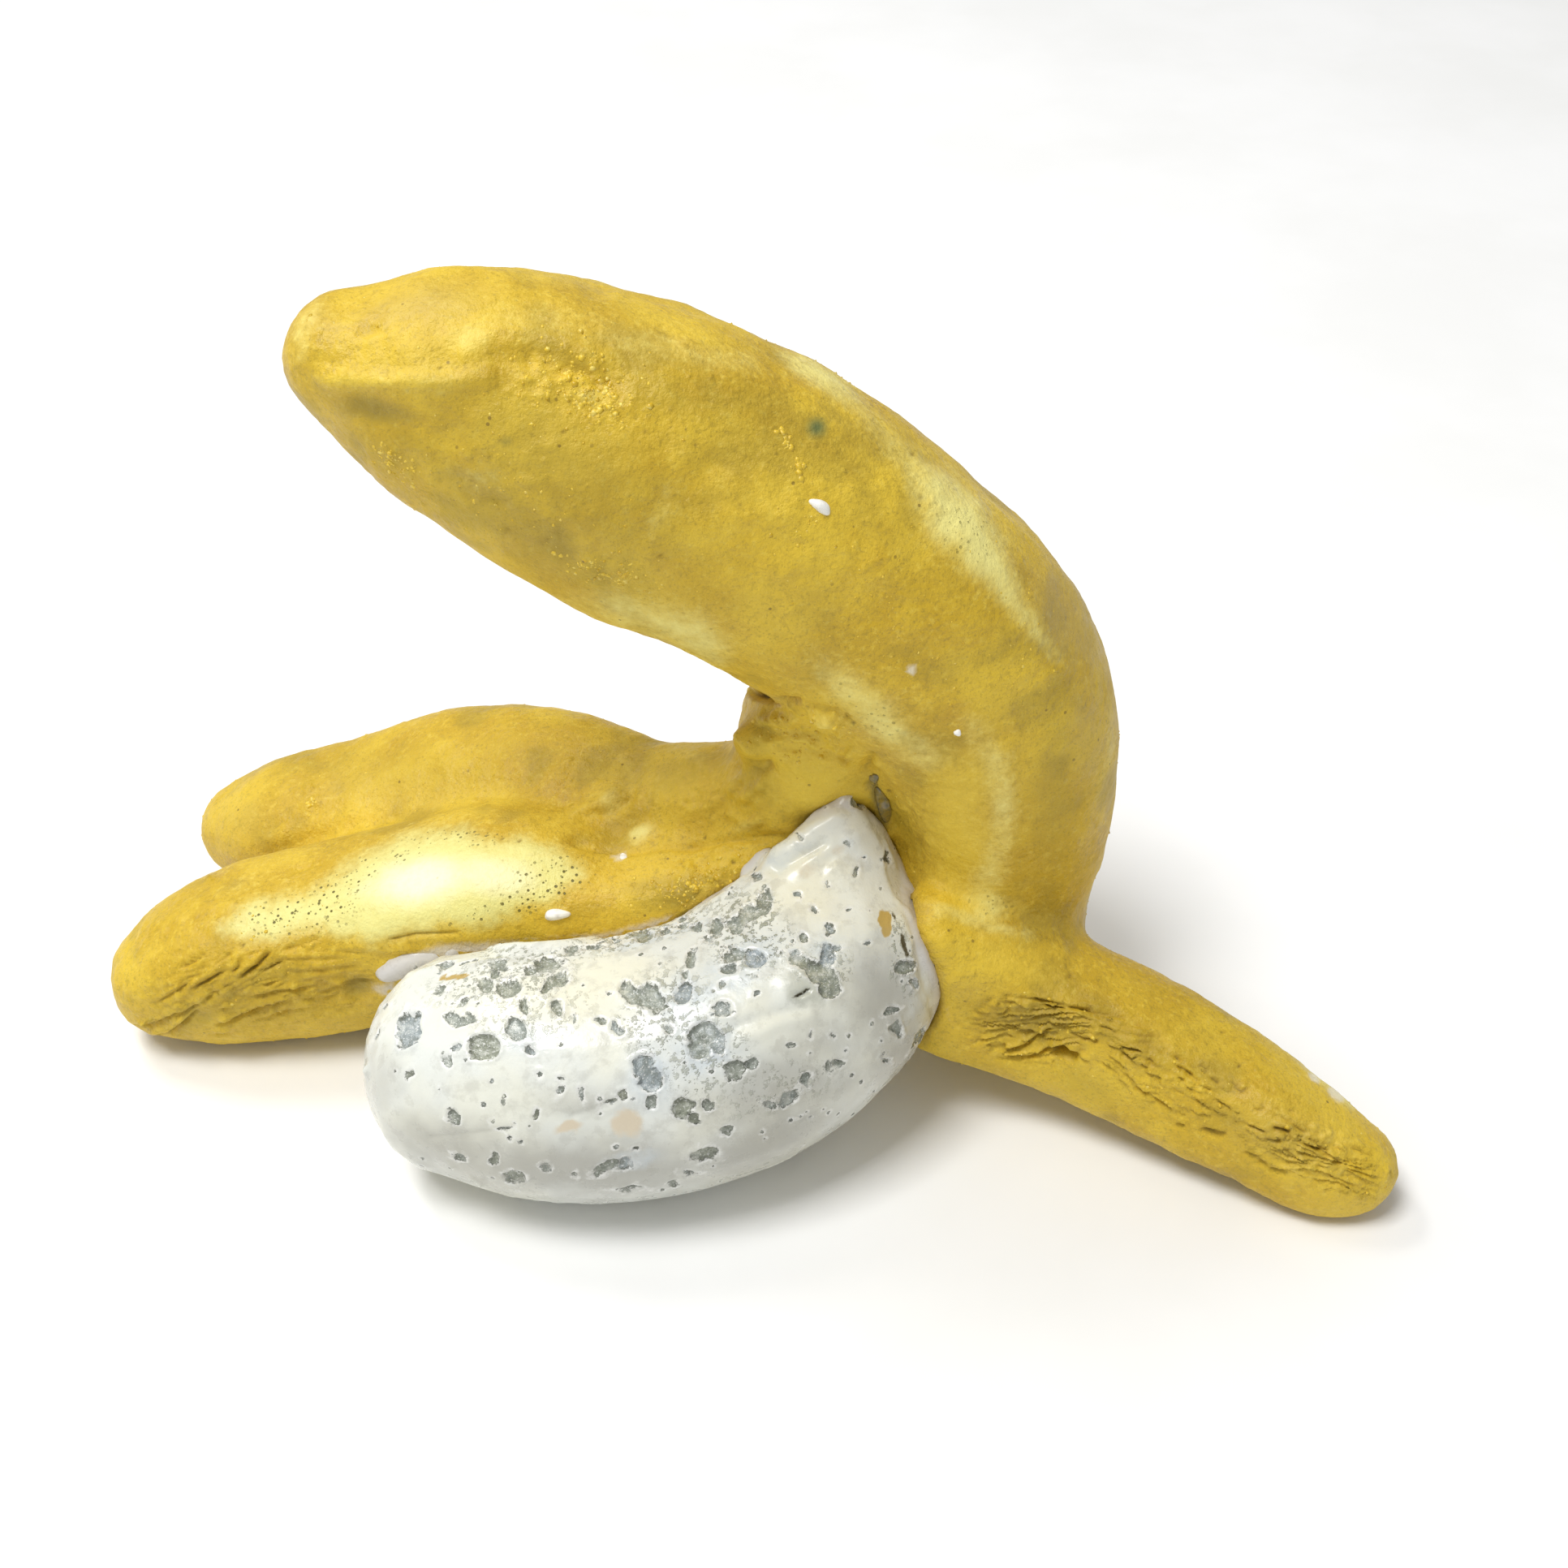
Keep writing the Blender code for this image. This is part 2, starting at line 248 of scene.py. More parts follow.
PINHOLES = (
    (693, 533), (752, 593), (705, 593), (622, 659), (671, 670), (815, 684), (542, 455), (565, 455),
    (859, 546), (1127, 557), (870, 1033), (620, 1033), (1044, 882), (1052, 890), (1137, 613), (1095, 975),
    (780, 1090), (640, 1036), (300, 1165), (905, 1065), (1528, 1312), (1467, 1325), (1508, 1270),
    (795, 532), (1320, 1200),
)

# Wrinkles of the flaps, drawn from left to right, and the fields of torn layers and short cracks
WRINKLES = strokes(
    (2.6, 0.55, 0.5, (218, 1193), (238, 1184), (255, 1172)),
    (3.0, 0.7, 0.7, (230, 1222), (255, 1208), (279, 1193)),
    (2.4, 0.5, 0.5, (283, 1201), (292, 1192), (296, 1180)),
    (2.8, 0.7, 0.7, (289, 1209), (316, 1189), (336, 1168)),
    (2.2, 0.4, 0.5, (322, 1197), (349, 1184)),
    (2.6, 0.5, 0.6, (170, 1266), (202, 1256), (226, 1246)),
    (2.6, 0.6, 0.6, (173, 1276), (206, 1275), (226, 1260), (250, 1240)),
    (2.6, 0.7, 0.7, (255, 1268), (291, 1255), (324, 1240), (373, 1227)),
    (2.2, 0.4, 0.5, (263, 1275), (287, 1272)),
    (2.6, 0.45, 0.4, (205, 1262), (240, 1240), (268, 1222)),
    (2.4, 0.4, 0.35, (185, 1240), (215, 1222), (240, 1204)),
    (2.6, 0.5, 0.4, (300, 1232), (340, 1222), (392, 1216)),
    (2.6, 0.4, 0.3, (392, 1226), (430, 1216), (470, 1212)),
    (2.4, 0.35, 0.25, (300, 1262), (350, 1246), (400, 1238)),
    (2.4, 0.35, 0.3, (345, 1172), (372, 1162), (402, 1150)),
    (3.4, 0.4, 0.15, (400, 1172), (470, 1178), (540, 1172)),
    (3.4, 0.4, 0.15, (440, 1188), (500, 1181), (560, 1173)),
    (2.4, 0.5, 0.5, (150, 1282), (178, 1284), (204, 1272)),
    (2.2, 0.45, 0.45, (160, 1262), (186, 1266), (214, 1252)),
    (3.4, 0.3, 0.1, (332, 1184), (385, 1182), (430, 1183)),
    (3.4, 0.25, 0.1, (350, 1200), (400, 1196), (450, 1192)),
    (3.0, 0.3, 0.1, (350, 1078), (380, 1068), (405, 1060)),
    (2.4, 0.45, 0.4, (1255, 1237), (1296, 1243), (1332, 1241), (1381, 1249), (1422, 1270), (1455, 1286)),
    (2.4, 0.45, 0.4, (1242, 1231), (1291, 1235), (1340, 1243), (1381, 1257)),
    (2.8, 0.7, 0.5, (1230, 1298), (1262, 1290), (1300, 1266)),
    (2.8, 0.7, 0.5, (1222, 1303), (1270, 1304), (1310, 1288)),
    (2.4, 0.5, 0.5, (1265, 1262), (1280, 1256), (1312, 1252)),
    (5.0, 1.2, 0.8, (1290, 1300), (1308, 1296), (1330, 1306)),
    (3.0, 0.6, 0.7, (1446, 1312), (1460, 1318), (1470, 1326)),
    (2.6, 0.5, 0.7, (1491, 1327), (1504, 1330)),
    (2.2, 0.35, 0.3, (1544, 1335), (1580, 1352), (1626, 1376)),
    (3.6, 0.8, 0.8, (1475, 1390), (1495, 1396), (1512, 1398)),
    (2.8, 0.5, 0.6, (1491, 1353), (1508, 1363), (1520, 1368)),
    (3.0, 0.7, 0.8, (1565, 1388), (1580, 1391), (1593, 1394)),
    (2.8, 0.7, 0.6, (1528, 1416), (1548, 1426), (1569, 1441), (1600, 1446)),
    (2.8, 0.5, 0.4, (1380, 1320), (1402, 1340), (1414, 1354)),
)
TORN = over_ovals(
    Torn,
    ((1258, 1266, 96, 52, 6), -2, 7.0, 0.60), ((1378, 1264, 100, 30, 18), 16, 7.0, 0.40),
    ((1640, 1438, 88, 34, 22), 15, 7.0, 0.55), ((1560, 1400, 84, 34, 26), 26, 8.0, 0.38),
    ((1430, 1345, 96, 40, 27), 28, 9.0, 0.30), ((196, 1270, 44, 24, -16), -14, 7.0, 0.45),
    ((270, 1206, 90, 40, -20), -26, 9.0, 0.34), ((380, 1226, 130, 40, -8), -9, 8.0, 0.28),
)
DASHES = over_ovals(
    Torn,
    ((1440, 1330, 110, 46, 27), 27, 20.0, 0.40), ((1600, 1395, 90, 30, 27), 27, 18.0, 0.35),
    ((1320, 1270, 110, 34, 10), 10, 22.0, 0.40), ((340, 1230, 150, 30, -8), -12, 16.0, 0.30),
)
# The short cracks in these fields: how many in each, their widths and corners, and the seed
DASH_COUNTS = (44, 26, 26, 14)
DASH_WIDTHS = (1.4, 3.0)
DASH_CORNERS = 4
DASH_SEED = 11
# Where the peel's mesh is finer, and where it is finest
FINER = spots(
    (1300, 1275, 104, 42, 10), (1610, 1415, 96, 34, 22), (1440, 1335, 84, 32, 26),
    (310, 1222, 150, 52, -8), (985, 905, 72, 46, 10), (560, 1150, 90, 10, -4), (880, 1080, 92, 34, -14),
    (710, 475, 76, 44, 20), (900, 985, 60, 24, -8),
)
FINEST = spots((1278, 1272, 66, 36, 0), (1632, 1440, 70, 22, 22), (955, 865, 36, 8, 10))

# Colours on the peel. A band's points are x, y, half width and strength
PALE_BANDS = (
    ((953, 430, 8, 0.2), (985, 446, 17, 0.75), (1023, 470, 18, 0.8), (1052, 494, 16, 0.55),
     (1084, 528, 15, 0.32), (1121, 568, 22, 0.5), (1157, 605, 34, 0.85), (1183, 640, 38, 1.15),
     (1208, 676, 32, 1.1), (1228, 706, 24, 0.85), (1252, 742, 18, 0.65), (1275, 775, 15, 0.5),
     (1303, 812, 12, 0.3)),
    ((560, 400, 24, 0.1), (660, 396, 28, 0.25), (730, 404, 28, 0.25), (800, 424, 24, 0.3),
     (925, 450, 20, 0.3)),
    ((690, 738, 16, 0.2), (760, 750, 22, 0.45), (810, 764, 26, 0.6), (855, 780, 27, 0.7),
     (884, 806, 22, 0.45)),
    ((1008, 824, 20, 0.3), (1034, 842, 24, 0.5), (1060, 862, 26, 0.55), (1084, 884, 27, 0.7),
     (1112, 912, 24, 0.5), (1146, 934, 22, 0.45)),
    ((1196, 890, 20, 0.3), (1228, 940, 22, 0.5), (1238, 1002, 20, 0.5), (1228, 1052, 18, 0.45),
     (1210, 1100, 26, 0.5), (1216, 1122, 30, 0.5)),
    ((1138, 1128, 10, 0.4), (1172, 1126, 10, 0.5), (1218, 1142, 10, 0.5), (1268, 1152, 9, 0.4)),
    ((385, 372, 16, 0.4), (370, 410, 14, 0.5), (368, 440, 12, 0.3)),
    ((403, 468, 16, 0.15), (480, 468, 18, 0.2), (560, 470, 20, 0.2)),
    ((802, 668, 10, 0.15), (812, 640, 16, 0.35), (830, 600, 14, 0.15)),
    ((1500, 1238, 10, 0.1), (1580, 1290, 10, 0.25), (1620, 1325, 9, 0.5), (1665, 1362, 8, 0.5)),
    ((1366, 860, 6, 0.2), (1370, 920, 7, 0.35), (1356, 980, 6, 0.2)),
)
# The thin film of pale glaze that the flesh left on the peel beside it
FILM_BANDS = (
    ((462, 1222, 8, 0.6), (482, 1222, 12, 1.0), (505, 1206, 12, 1.0)),
    ((500, 1186, 9, 0.9), (545, 1173, 13, 1.0), (620, 1171, 14, 1.0), (690, 1167, 13, 1.0),
     (760, 1157, 13, 0.9), (820, 1139, 12, 0.9), (862, 1125, 11, 0.8), (896, 1106, 10, 0.8),
     (940, 1059, 9, 0.6), (1000, 1017, 7, 0.6)),
    ((1070, 1000, 6, 0.6), (1092, 1030, 7, 0.7), (1101, 1070, 6, 0.7), (1118, 1112, 8, 0.9),
     (1132, 1140, 6, 0.6), (1146, 1175, 5, 0.5), (1158, 1203, 5, 0.4), (1172, 1265, 5, 0.3)),
)
PALE_SPOTS = spots(
    (583, 418, 34, 22, 0, 0.4), (729, 488, 22, 15, 20, 0.45), (590, 590, 40, 26, 0, 0.25),
    (752, 990, 18, 22, 40, 0.45), (790, 1028, 22, 14, -30, 0.9), (922, 1016, 20, 8, -20, 0.5),
    (855, 932, 24, 9, 12, 0.35), (1020, 884, 18, 10, 20, 0.4), (640, 400, 30, 14, 0, 0.2),
    (1640, 1400, 40, 12, 30, 0.2), (300, 1090, 40, 14, -30, 0.2), (986, 904, 30, 10, 10, 0.2),
)
# The outline of the patch on the front flap where the glaze is thin and cream
CREAM_PATCH = (
    (270, 1146), (312, 1113), (381, 1100), (418, 1074), (447, 1052), (512, 1024), (565, 1020),
    (602, 1035), (651, 1034), (691, 1050), (724, 1078), (691, 1105), (610, 1133), (512, 1148),
    (455, 1160), (406, 1152), (373, 1144), (340, 1160), (300, 1160),
)
# The whitest parts of that patch, which are cream glaze with a painted highlight, and where the glaze is
# full of pores
WHITEST_AND_HIGHLIGHT = spots((520, 1085, 70, 30, -8, 1.0), (600, 1080, 60, 24, 5, 0.6))
PORE_SPOTS = spots(
    (672, 1090, 72, 34, -20, 1.0), (620, 1120, 80, 16, -12, 0.9), (425, 1086, 70, 22, -35, 1.0),
    (370, 1128, 90, 30, -8, 1.0), (560, 1032, 80, 14, 0, 0.9), (500, 1050, 30, 14, -20, 0.8),
    (1190, 655, 36, 56, -38, 0.5), (1088, 890, 30, 30, 0, 0.5), (1215, 1115, 44, 18, 0, 0.5),
    (1040, 852, 24, 16, 30, 0.4),
)
# Where the glaze and the clay under it are rough, with the height of the bumps in mm
ROUGH_SPOTS = spots(
    (990, 905, 84, 48, 10, 0.45), (868, 1086, 96, 32, -14, 0.36), (1290, 1265, 116, 54, 8, 0.26),
    (1440, 1330, 130, 52, 26, 0.26), (1640, 1425, 84, 44, 24, 0.32), (705, 470, 84, 50, 20, 0.34),
    (745, 704, 72, 20, 12, 0.34), (500, 580, 60, 24, 30, 0.26), (1010, 690, 130, 120, 0, 0.16),
    (640, 950, 190, 56, 0, 0.16), (300, 1220, 160, 66, -10, 0.3), (460, 400, 110, 60, 0, 0.24),
    (1130, 1000, 60, 110, 0, 0.26), (640, 600, 180, 90, 30, 0.24), (240, 1140, 90, 50, -20, 0.26),
    (620, 1175, 90, 16, -4, 0.3), (1500, 1270, 90, 30, 30, 0.2), (860, 980, 100, 50, 0, 0.2),
    (1280, 850, 70, 180, -20, 0.14),
)
# Painted light: a lighter yellow painted on the faces and ridges that catch the light
PAINTED_LIGHT_SPOTS = spots(
    (1000, 955, 90, 70, 0, 1.0), (1180, 1010, 56, 110, 0, 0.9), (1200, 1110, 60, 34, 0, 0.9),
    (850, 960, 110, 44, 0, 0.7), (350, 1062, 60, 20, -20, 0.5), (1010, 890, 46, 20, 8, 0.8),
    (1240, 1180, 80, 36, 14, 0.7), (940, 620, 110, 70, 30, 0.4), (740, 1002, 60, 16, -10, 0.5),
    (620, 555, 80, 16, 30, 0.3), (580, 424, 44, 24, -30, 0.7), (450, 468, 90, 9, 2, 0.7),
    (830, 404, 90, 12, 22, 0.5), (900, 655, 80, 18, -10, 0.5), (1000, 930, 60, 40, 0, 1.0),
)
# Olive and tan glaze, and painted shade: darker on the faces turned from the light, in the hollows and
# along the creases
OLIVE_AND_SHADE_SPOTS = spots(
    (640, 640, 200, 60, 33, 0.7), (480, 560, 80, 40, 30, 0.5), (690, 590, 270, 110, 32, 0.6),
    (1180, 820, 60, 60, 0, 0.2), (1600, 1350, 60, 20, 38, 0.2), (500, 950, 200, 50, 4, 0.4),
    (1340, 1340, 70, 26, 24, 0.5), (810, 1092, 60, 14, -8, 0.6), (460, 508, 70, 22, 8, 1.1),
    (500, 545, 50, 26, 30, 0.6), (612, 622, 46, 12, 0, 0.7), (700, 690, 80, 40, 30, 0.5),
    (690, 438, 80, 12, 20, 0.5), (850, 560, 60, 24, 40, 0.35), (1080, 640, 26, 60, -40, 0.35),
    (790, 610, 60, 20, 25, 0.4), (820, 480, 110, 40, 22, 0.5), (690, 430, 60, 16, 15, 0.45),
    (960, 640, 50, 40, 0, 0.25), (1113, 902, 9, 6, 10, 1.0), (1137, 613, 7, 5, 0, 0.8),
    (1300, 960, 40, 150, 5, 0.5), (850, 1100, 90, 24, -12, 0.9), (1280, 1262, 96, 44, 5, 0.8),
    (1400, 1290, 90, 34, 24, 0.55), (1590, 1410, 110, 36, 24, 0.5), (442, 1221, 24, 17, 0, 0.8),
    (450, 402, 14, 12, -40, 0.4), (475, 1092, 7, 7, 0, 0.5), (1010, 780, 60, 90, 0, 0.3),
    (300, 1235, 140, 40, -8, 0.45), (720, 1120, 60, 12, -6, 0.4), (640, 930, 120, 26, 8, 0.3),
    (760, 380, 60, 16, 20, 0.25), (1310, 860, 24, 90, -15, 0.35), (600, 1160, 130, 8, 0, 0.5),
)
TAN_AND_SHADE_SPOTS = spots(
    (1310, 760, 40, 90, -25, 0.8), (1340, 900, 26, 90, 0, 0.6), (1250, 560, 60, 26, 42, 0.35),
    (400, 400, 40, 40, 0, 0.35), (1000, 415, 80, 12, 32, 0.5), (300, 1010, 60, 40, 0, 0.4),
    (1600, 1400, 120, 60, 25, 0.35), (700, 350, 90, 14, 8, 0.4), (520, 376, 110, 34, -4, 0.6),
    (420, 520, 30, 50, -30, 0.4), (480, 980, 160, 40, 0, 0.35),
)
# Green blotches, and small drops that are painted only
TEAL_SPOTS = spots((1008, 525, 15, 15, 0, 1.0), (622, 546, 8, 7, 0, 0.35))
WHITE_SPOTS = spots(
    (763, 1054, 9, 7, 0, 0.5), (1123, 827, 6, 5, 0, 0.5), (1645, 1350, 13, 6, 40, 0.5),
    (1618, 1329, 9, 5, 40, 0.5),
)
# Drops of pale and of glassy glaze on the peel, whose strength is their height in mm
DROPS = spots(
    (1011, 624, 16, 8, 33, 0.4), (686, 1127, 17, 7.5, -5, 0.5), (1180, 903, 5, 4.5, 0, 0.3),
    (768, 1055, 5, 4, 0, 0.15),
)
GLASS_DROPS = spots((1088, 992, 8.5, 24, -19, 0.8), (1077, 960, 6, 8, -10, 0.4))
# How uneven their outlines are, how far in mm their edges and roots are sunk, and their mesh
DROP_WAVE = 0.1
DROP_SINK = 0.12
DROP_ROOT = 0.5
DROP_RINGS = 7
DROP_SIDES = 28
# The run of glass beside them
DRIP = Stroke(((1075, 966), (1081, 984), (1089, 1003), (1090, 1024)), 7, 0.9)
# Where the crystals of glaze lie in swarms
GRAIN_SWARMS = over_ovals(
    Swarm,
    ((700, 466, 82, 50, 20), 170, 0.2, 0.56), ((735, 492, 44, 28, 30), 80, 0.26, 0.68),
    ((970, 540, 9, 18, -20), 12, 0.5, 0.95), ((984, 576, 8, 18, -15), 12, 0.5, 0.95),
    ((486, 574, 34, 18, 30), 80, 0.18, 0.42), ((745, 704, 66, 18, 10), 100, 0.2, 0.52),
    ((1000, 650, 40, 60, 0), 30, 0.16, 0.40), ((985, 905, 60, 36, 0), 90, 0.20, 0.60),
    ((868, 1086, 80, 30, -14), 190, 0.20, 0.55), ((1120, 1010, 40, 70, 0), 60, 0.14, 0.34),
    ((1270, 1262, 100, 50, 15), 46, 0.16, 0.36), ((1430, 1330, 120, 50, 25), 46, 0.16, 0.40),
    ((1640, 1430, 70, 40, 25), 30, 0.16, 0.36), ((1100, 760, 150, 130, 0), 110, 0.12, 0.32),
    ((640, 560, 180, 120, 30), 130, 0.12, 0.32), ((330, 1180, 140, 90, -10), 90, 0.12, 0.34),
    ((560, 950, 200, 60, 0), 60, 0.12, 0.28), ((460, 400, 100, 50, 0), 40, 0.12, 0.32),
    ((1270, 830, 40, 120, 0), 50, 0.14, 0.34), ((386, 984, 12, 24, 10), 14, 0.3, 0.6),
)
# The crystals on the hidden sides, their sizes in mm, how deep all are sunk, and their seed
HIDDEN_GRAINS = 900
HIDDEN_SIZES = (0.12, 0.42)
GRAIN_SINK = 0.32
GRAIN_SEED = 3

# The colours painted over ovals: their names, ovals, where they start and end to fade, and
# whether their edge is ragged
PEEL_PAINTS = (
    ("pale", PALE_SPOTS, 0.0, 1.4, True), ("whitest_and_highlight", WHITEST_AND_HIGHLIGHT, 0.2, 1.4, True),
    ("pores", PORE_SPOTS, 0.5, 1.1, True), ("olive_and_shade", OLIVE_AND_SHADE_SPOTS, 0.1, 1.35, True),
    ("tan_and_shade", TAN_AND_SHADE_SPOTS, 0.1, 1.35, True), ("painted_light", PAINTED_LIGHT_SPOTS, 0.1, 1.35, True),
    ("teal", TEAL_SPOTS, 0.1, 1.3, False), ("white", WHITE_SPOTS, 0.7, 1.15, False),
)

# Pits in the pale glaze, whose tone runs from grey-green at 0 to blue at 1
PITS = spots(
    (505, 1269, 13, 24, 12, 0.7), (544, 1223, 9, 3.5, -20, 0.2), (572, 1236, 12, 4, -25, 0.2),
    (562, 1258, 10, 9, 30, 0.3), (576, 1258, 15, 6, -30, 0.25), (584, 1257, 7, 3.5, -35, 0.3),
    (596, 1291, 19, 15, -5, 0.05), (636, 1270, 12, 14, 0, 0.4), (654, 1294, 6, 6, 0, 0.7),
    (563, 1292, 8, 6, -30, 0.6), (599, 1217, 11, 8, -20, 0.1), (609, 1202, 5, 7, 30, 0.1),
    (630, 1217, 15, 12, -15, 0.1), (647, 1240, 6, 9, 10, 0.1), (684, 1210, 21, 9, -42, 0.1),
    (676, 1189, 17, 8, -12, 0.1), (654, 1198, 8, 5, -10, 0.1), (614, 1189, 11, 6, 5, 0.2),
    (686, 1239, 10, 9, -20, 0.1), (709, 1254, 3, 6, 15, 0.4), (508, 1324, 3.5, 6, 25, 0.1),
    (553, 1310, 3.5, 7, 15, 0.3), (464, 1271, 2.5, 8, 25, 0.4), (557, 1375, 10, 10, 0, 0.2),
    (621, 1357, 3.5, 4, 0, 0.2), (661, 1371, 4, 5, 0, 0.0), (665, 1328, 4, 4.5, 0, 0.4),
    (697, 1326, 5, 3.5, 0, 0.3), (691, 1345, 3, 7, 35, 0.4), (716, 1348, 4, 7, 0, 0.4),
    (768, 1351, 6, 8, 0, 0.0), (752, 1360, 9, 3, -25, 0.1), (790, 1312, 12, 16, 20, 0.7),
    (802, 1332, 14, 16, 10, 0.75), (803, 1360, 9, 8, 10, 0.3), (842, 1364, 12, 11, 20, 0.05),
    (858, 1378, 8, 6, 30, 0.05), (874, 1361, 8, 8, 0, 0.2), (868, 1276, 20, 14, 0, 0.35),
    (862, 1292, 13, 13, 0, 0.3), (884, 1282, 9, 14, 0, 0.6), (776, 1222, 16, 12, 15, 0.25),
    (800, 1226, 18, 16, 30, 0.3), (812, 1242, 8, 8, 0, 0.2), (841, 1225, 13, 12, 0, 0.8),
    (760, 1264, 7, 11, -35, 0.6), (740, 1257, 7, 5, 20, 0.2), (748, 1222, 5, 5, -30, 0.3),
    (853, 1184, 8, 12, 15, 0.3), (846, 1204, 5, 6, 0, 0.3), (792, 1153, 12, 7, -15, 0.1),
    (760, 1160, 5, 4, 0, 0.1), (729, 1168, 12, 3.5, -3, 0.3), (706, 1172, 9, 3.5, 0, 0.2),
    (822, 1149, 8, 4, -20, 0.3), (846, 1139, 7, 5, -15, 0.2), (862, 1143, 7, 6, -15, 0.3),
    (885, 1145, 8, 12, 0, 0.25), (905, 1178, 14, 9, -10, 0.3), (896, 1196, 9, 7, 0, 0.4),
    (930, 1180, 13, 11, -10, 0.9), (940, 1112, 9, 16, 12, 0.15), (922, 1128, 16, 10, -20, 0.15),
    (906, 1140, 12, 10, 0, 0.3), (889, 1243, 12, 8, -15, 0.5), (934, 1080, 8, 5, -5, 0.4),
    (987, 1034, 4, 4, 0, 0.2), (1054, 1074, 4, 8, 12, 0.1), (981, 1107, 4, 4.5, 0, 0.5),
    (1004, 1120, 5, 4, 0, 0.3), (1023, 1141, 6, 5, 0, 0.6), (990, 1155, 5.5, 5, 0, 0.2),
    (979, 1176, 7, 6, 0, 0.5), (1020, 1178, 10, 14, 0, 0.85), (1032, 1167, 4, 4, 0, 0.5),
    (986, 1188, 14, 6, 10, 0.05), (1012, 1200, 20, 14, 20, 0.1), (1022, 1218, 13, 14, 20, 0.1),
    (975, 1289, 6, 5, 10, 0.2), (906, 1318, 13, 12, -10, 0.2), (926, 1313, 9, 9, 0, 0.3),
    (1020, 1316, 6, 7, -20, 0.2), (1032, 1310, 7, 6, -20, 0.2), (992, 1331, 6, 9, 15, 0.3),
    (970, 1352, 14, 8, -20, 0.4), (948, 1360, 10, 5, -10, 0.3), (1100, 1245, 8, 5, -30, 0.2),
    (1104, 1267, 8, 9, 0, 0.2), (1133, 1279, 4, 15, 32, 0.1), (1026, 1274, 3, 3, 0, 0.2),
    (1092, 1305, 4, 3.5, -30, 0.3), (1127, 1215, 7, 5, 15, 0.3), (1117, 1190, 11, 10, 0, 0.15),
    (1094, 1055, 4, 7, 5, 0.1), (868, 1421, 19, 8, -8, 0.1), (745, 1441, 13, 5, -18, 0.2),
    (756, 1434, 7, 5, 0, 0.2), (780, 1417, 5, 3, -10, 0.3), (772, 1434, 9, 4, -15, 0.7),
    (631, 1451, 12, 7, 10, 0.1), (606, 1430, 5, 6, 0, 0.1), (565, 1424, 8, 5, 25, 0.2),
    (631, 1403, 3.5, 3.5, 0, 0.4), (641, 1409, 3, 4, -20, 0.4), (672, 1438, 7, 5, 30, 0.3),
    (624, 1392, 8, 2.5, 0, 0.3), (775, 1466, 14, 2.5, -3, 0.3), (828, 1459, 6, 3, -20, 0.2),
    (707, 1448, 3, 2.5, 0, 0.2), (894, 1391, 7, 6, 0, 0.2), (851, 1445, 8, 2.5, 5, 0.4),
    (575, 1187, 9, 3, -10, 0.2), (547, 1192, 10, 4, -15, 0.3), (898, 1322, 7, 9, 0, 0.2),
    (1043, 1040, 3, 3, 0, 0.2), (1062, 1053, 3, 2.5, 0, 0.2), (873, 1160, 6, 4, 0, 0.4),
    (478, 1241, 4, 2.5, 0, 0.4), (890, 1216, 4, 4, 0, 0.3), (1046, 1119, 3, 3, 0, 0.4),
    (1068, 1161, 4, 4, 0, 0.5), (1000, 1274, 3, 2.5, 0, 0.4), (935, 1225, 4, 3.5, 0, 0.5),
    (820, 1267, 7, 5, 10, 0.4),
)
# The seeded pits: how many, their radii in mm, and the seed
HIDDEN_PITS = 60
HIDDEN_RADII = (0.3, 1.8)
TINY_PITS = 240
TINY_RADII = (0.1, 0.3)
PIT_SEED = 5
# Colours on the flesh, as ovals: clay that shows through, dark marks in crevices, painted shade low on it
# and at its right end, and crawled or milky glaze
PEACH_SPOTS = spots(
    (700, 1389, 25, 12, -10, 1.0), (772, 1384, 26, 22, 0, 0.9), (996, 1072, 22, 10, -20, 0.5),
    (1032, 1046, 12, 8, 0, 0.5),
)
BARE_SPOTS = spots((562, 1203, 22, 6, -2, 0.9), (1089, 1136, 11, 20, -10, 1.0))
# Dark marks in the crevices along the seam with the peel
DARK_CREVICE_SPOTS = spots(
    (1113, 1166, 5, 15, -15, 0.9), (1102, 1128, 4, 11, -22, 0.8), (1094, 1056, 4, 8, 5, 0.6),
    (892, 1125, 3, 4, 0, 0.7),
)
CREAM_FLESH_SPOTS = spots(
    (660, 1230, 170, 50, -5, 0.8), (1000, 1090, 60, 50, -30, 0.5), (760, 1200, 90, 24, -4, 0.8),
)
SHADE_FLESH_SPOTS = spots(
    (940, 1410, 130, 50, -26, 1.0), (1120, 1300, 60, 50, -40, 1.0), (700, 1440, 260, 44, 0, 1.0),
    (1090, 1230, 60, 90, 0, 1.0), (560, 1420, 110, 50, 14, 0.9), (960, 1350, 130, 60, -24, 0.9),
    (740, 1440, 190, 50, 0, 1.0), (1010, 1290, 70, 40, -30, 0.6), (470, 1330, 30, 50, 0, 0.6),
    (720, 1360, 80, 20, 0, 0.5),
)
MOTTLED_SPOTS = spots(
    (800, 1150, 120, 14, -12, 1.0), (660, 1178, 80, 10, 0, 0.9), (920, 1150, 56, 60, -40, 1.0),
    (820, 1250, 60, 70, 20, 0.8), (866, 1300, 60, 60, 0, 0.7), (620, 1210, 100, 30, -10, 0.8),
    (660, 1250, 80, 40, -10, 0.5), (1015, 1190, 40, 30, 0, 0.6), (1110, 1180, 16, 60, -12, 0.8),
    (960, 1340, 90, 30, -20, 0.5),
)
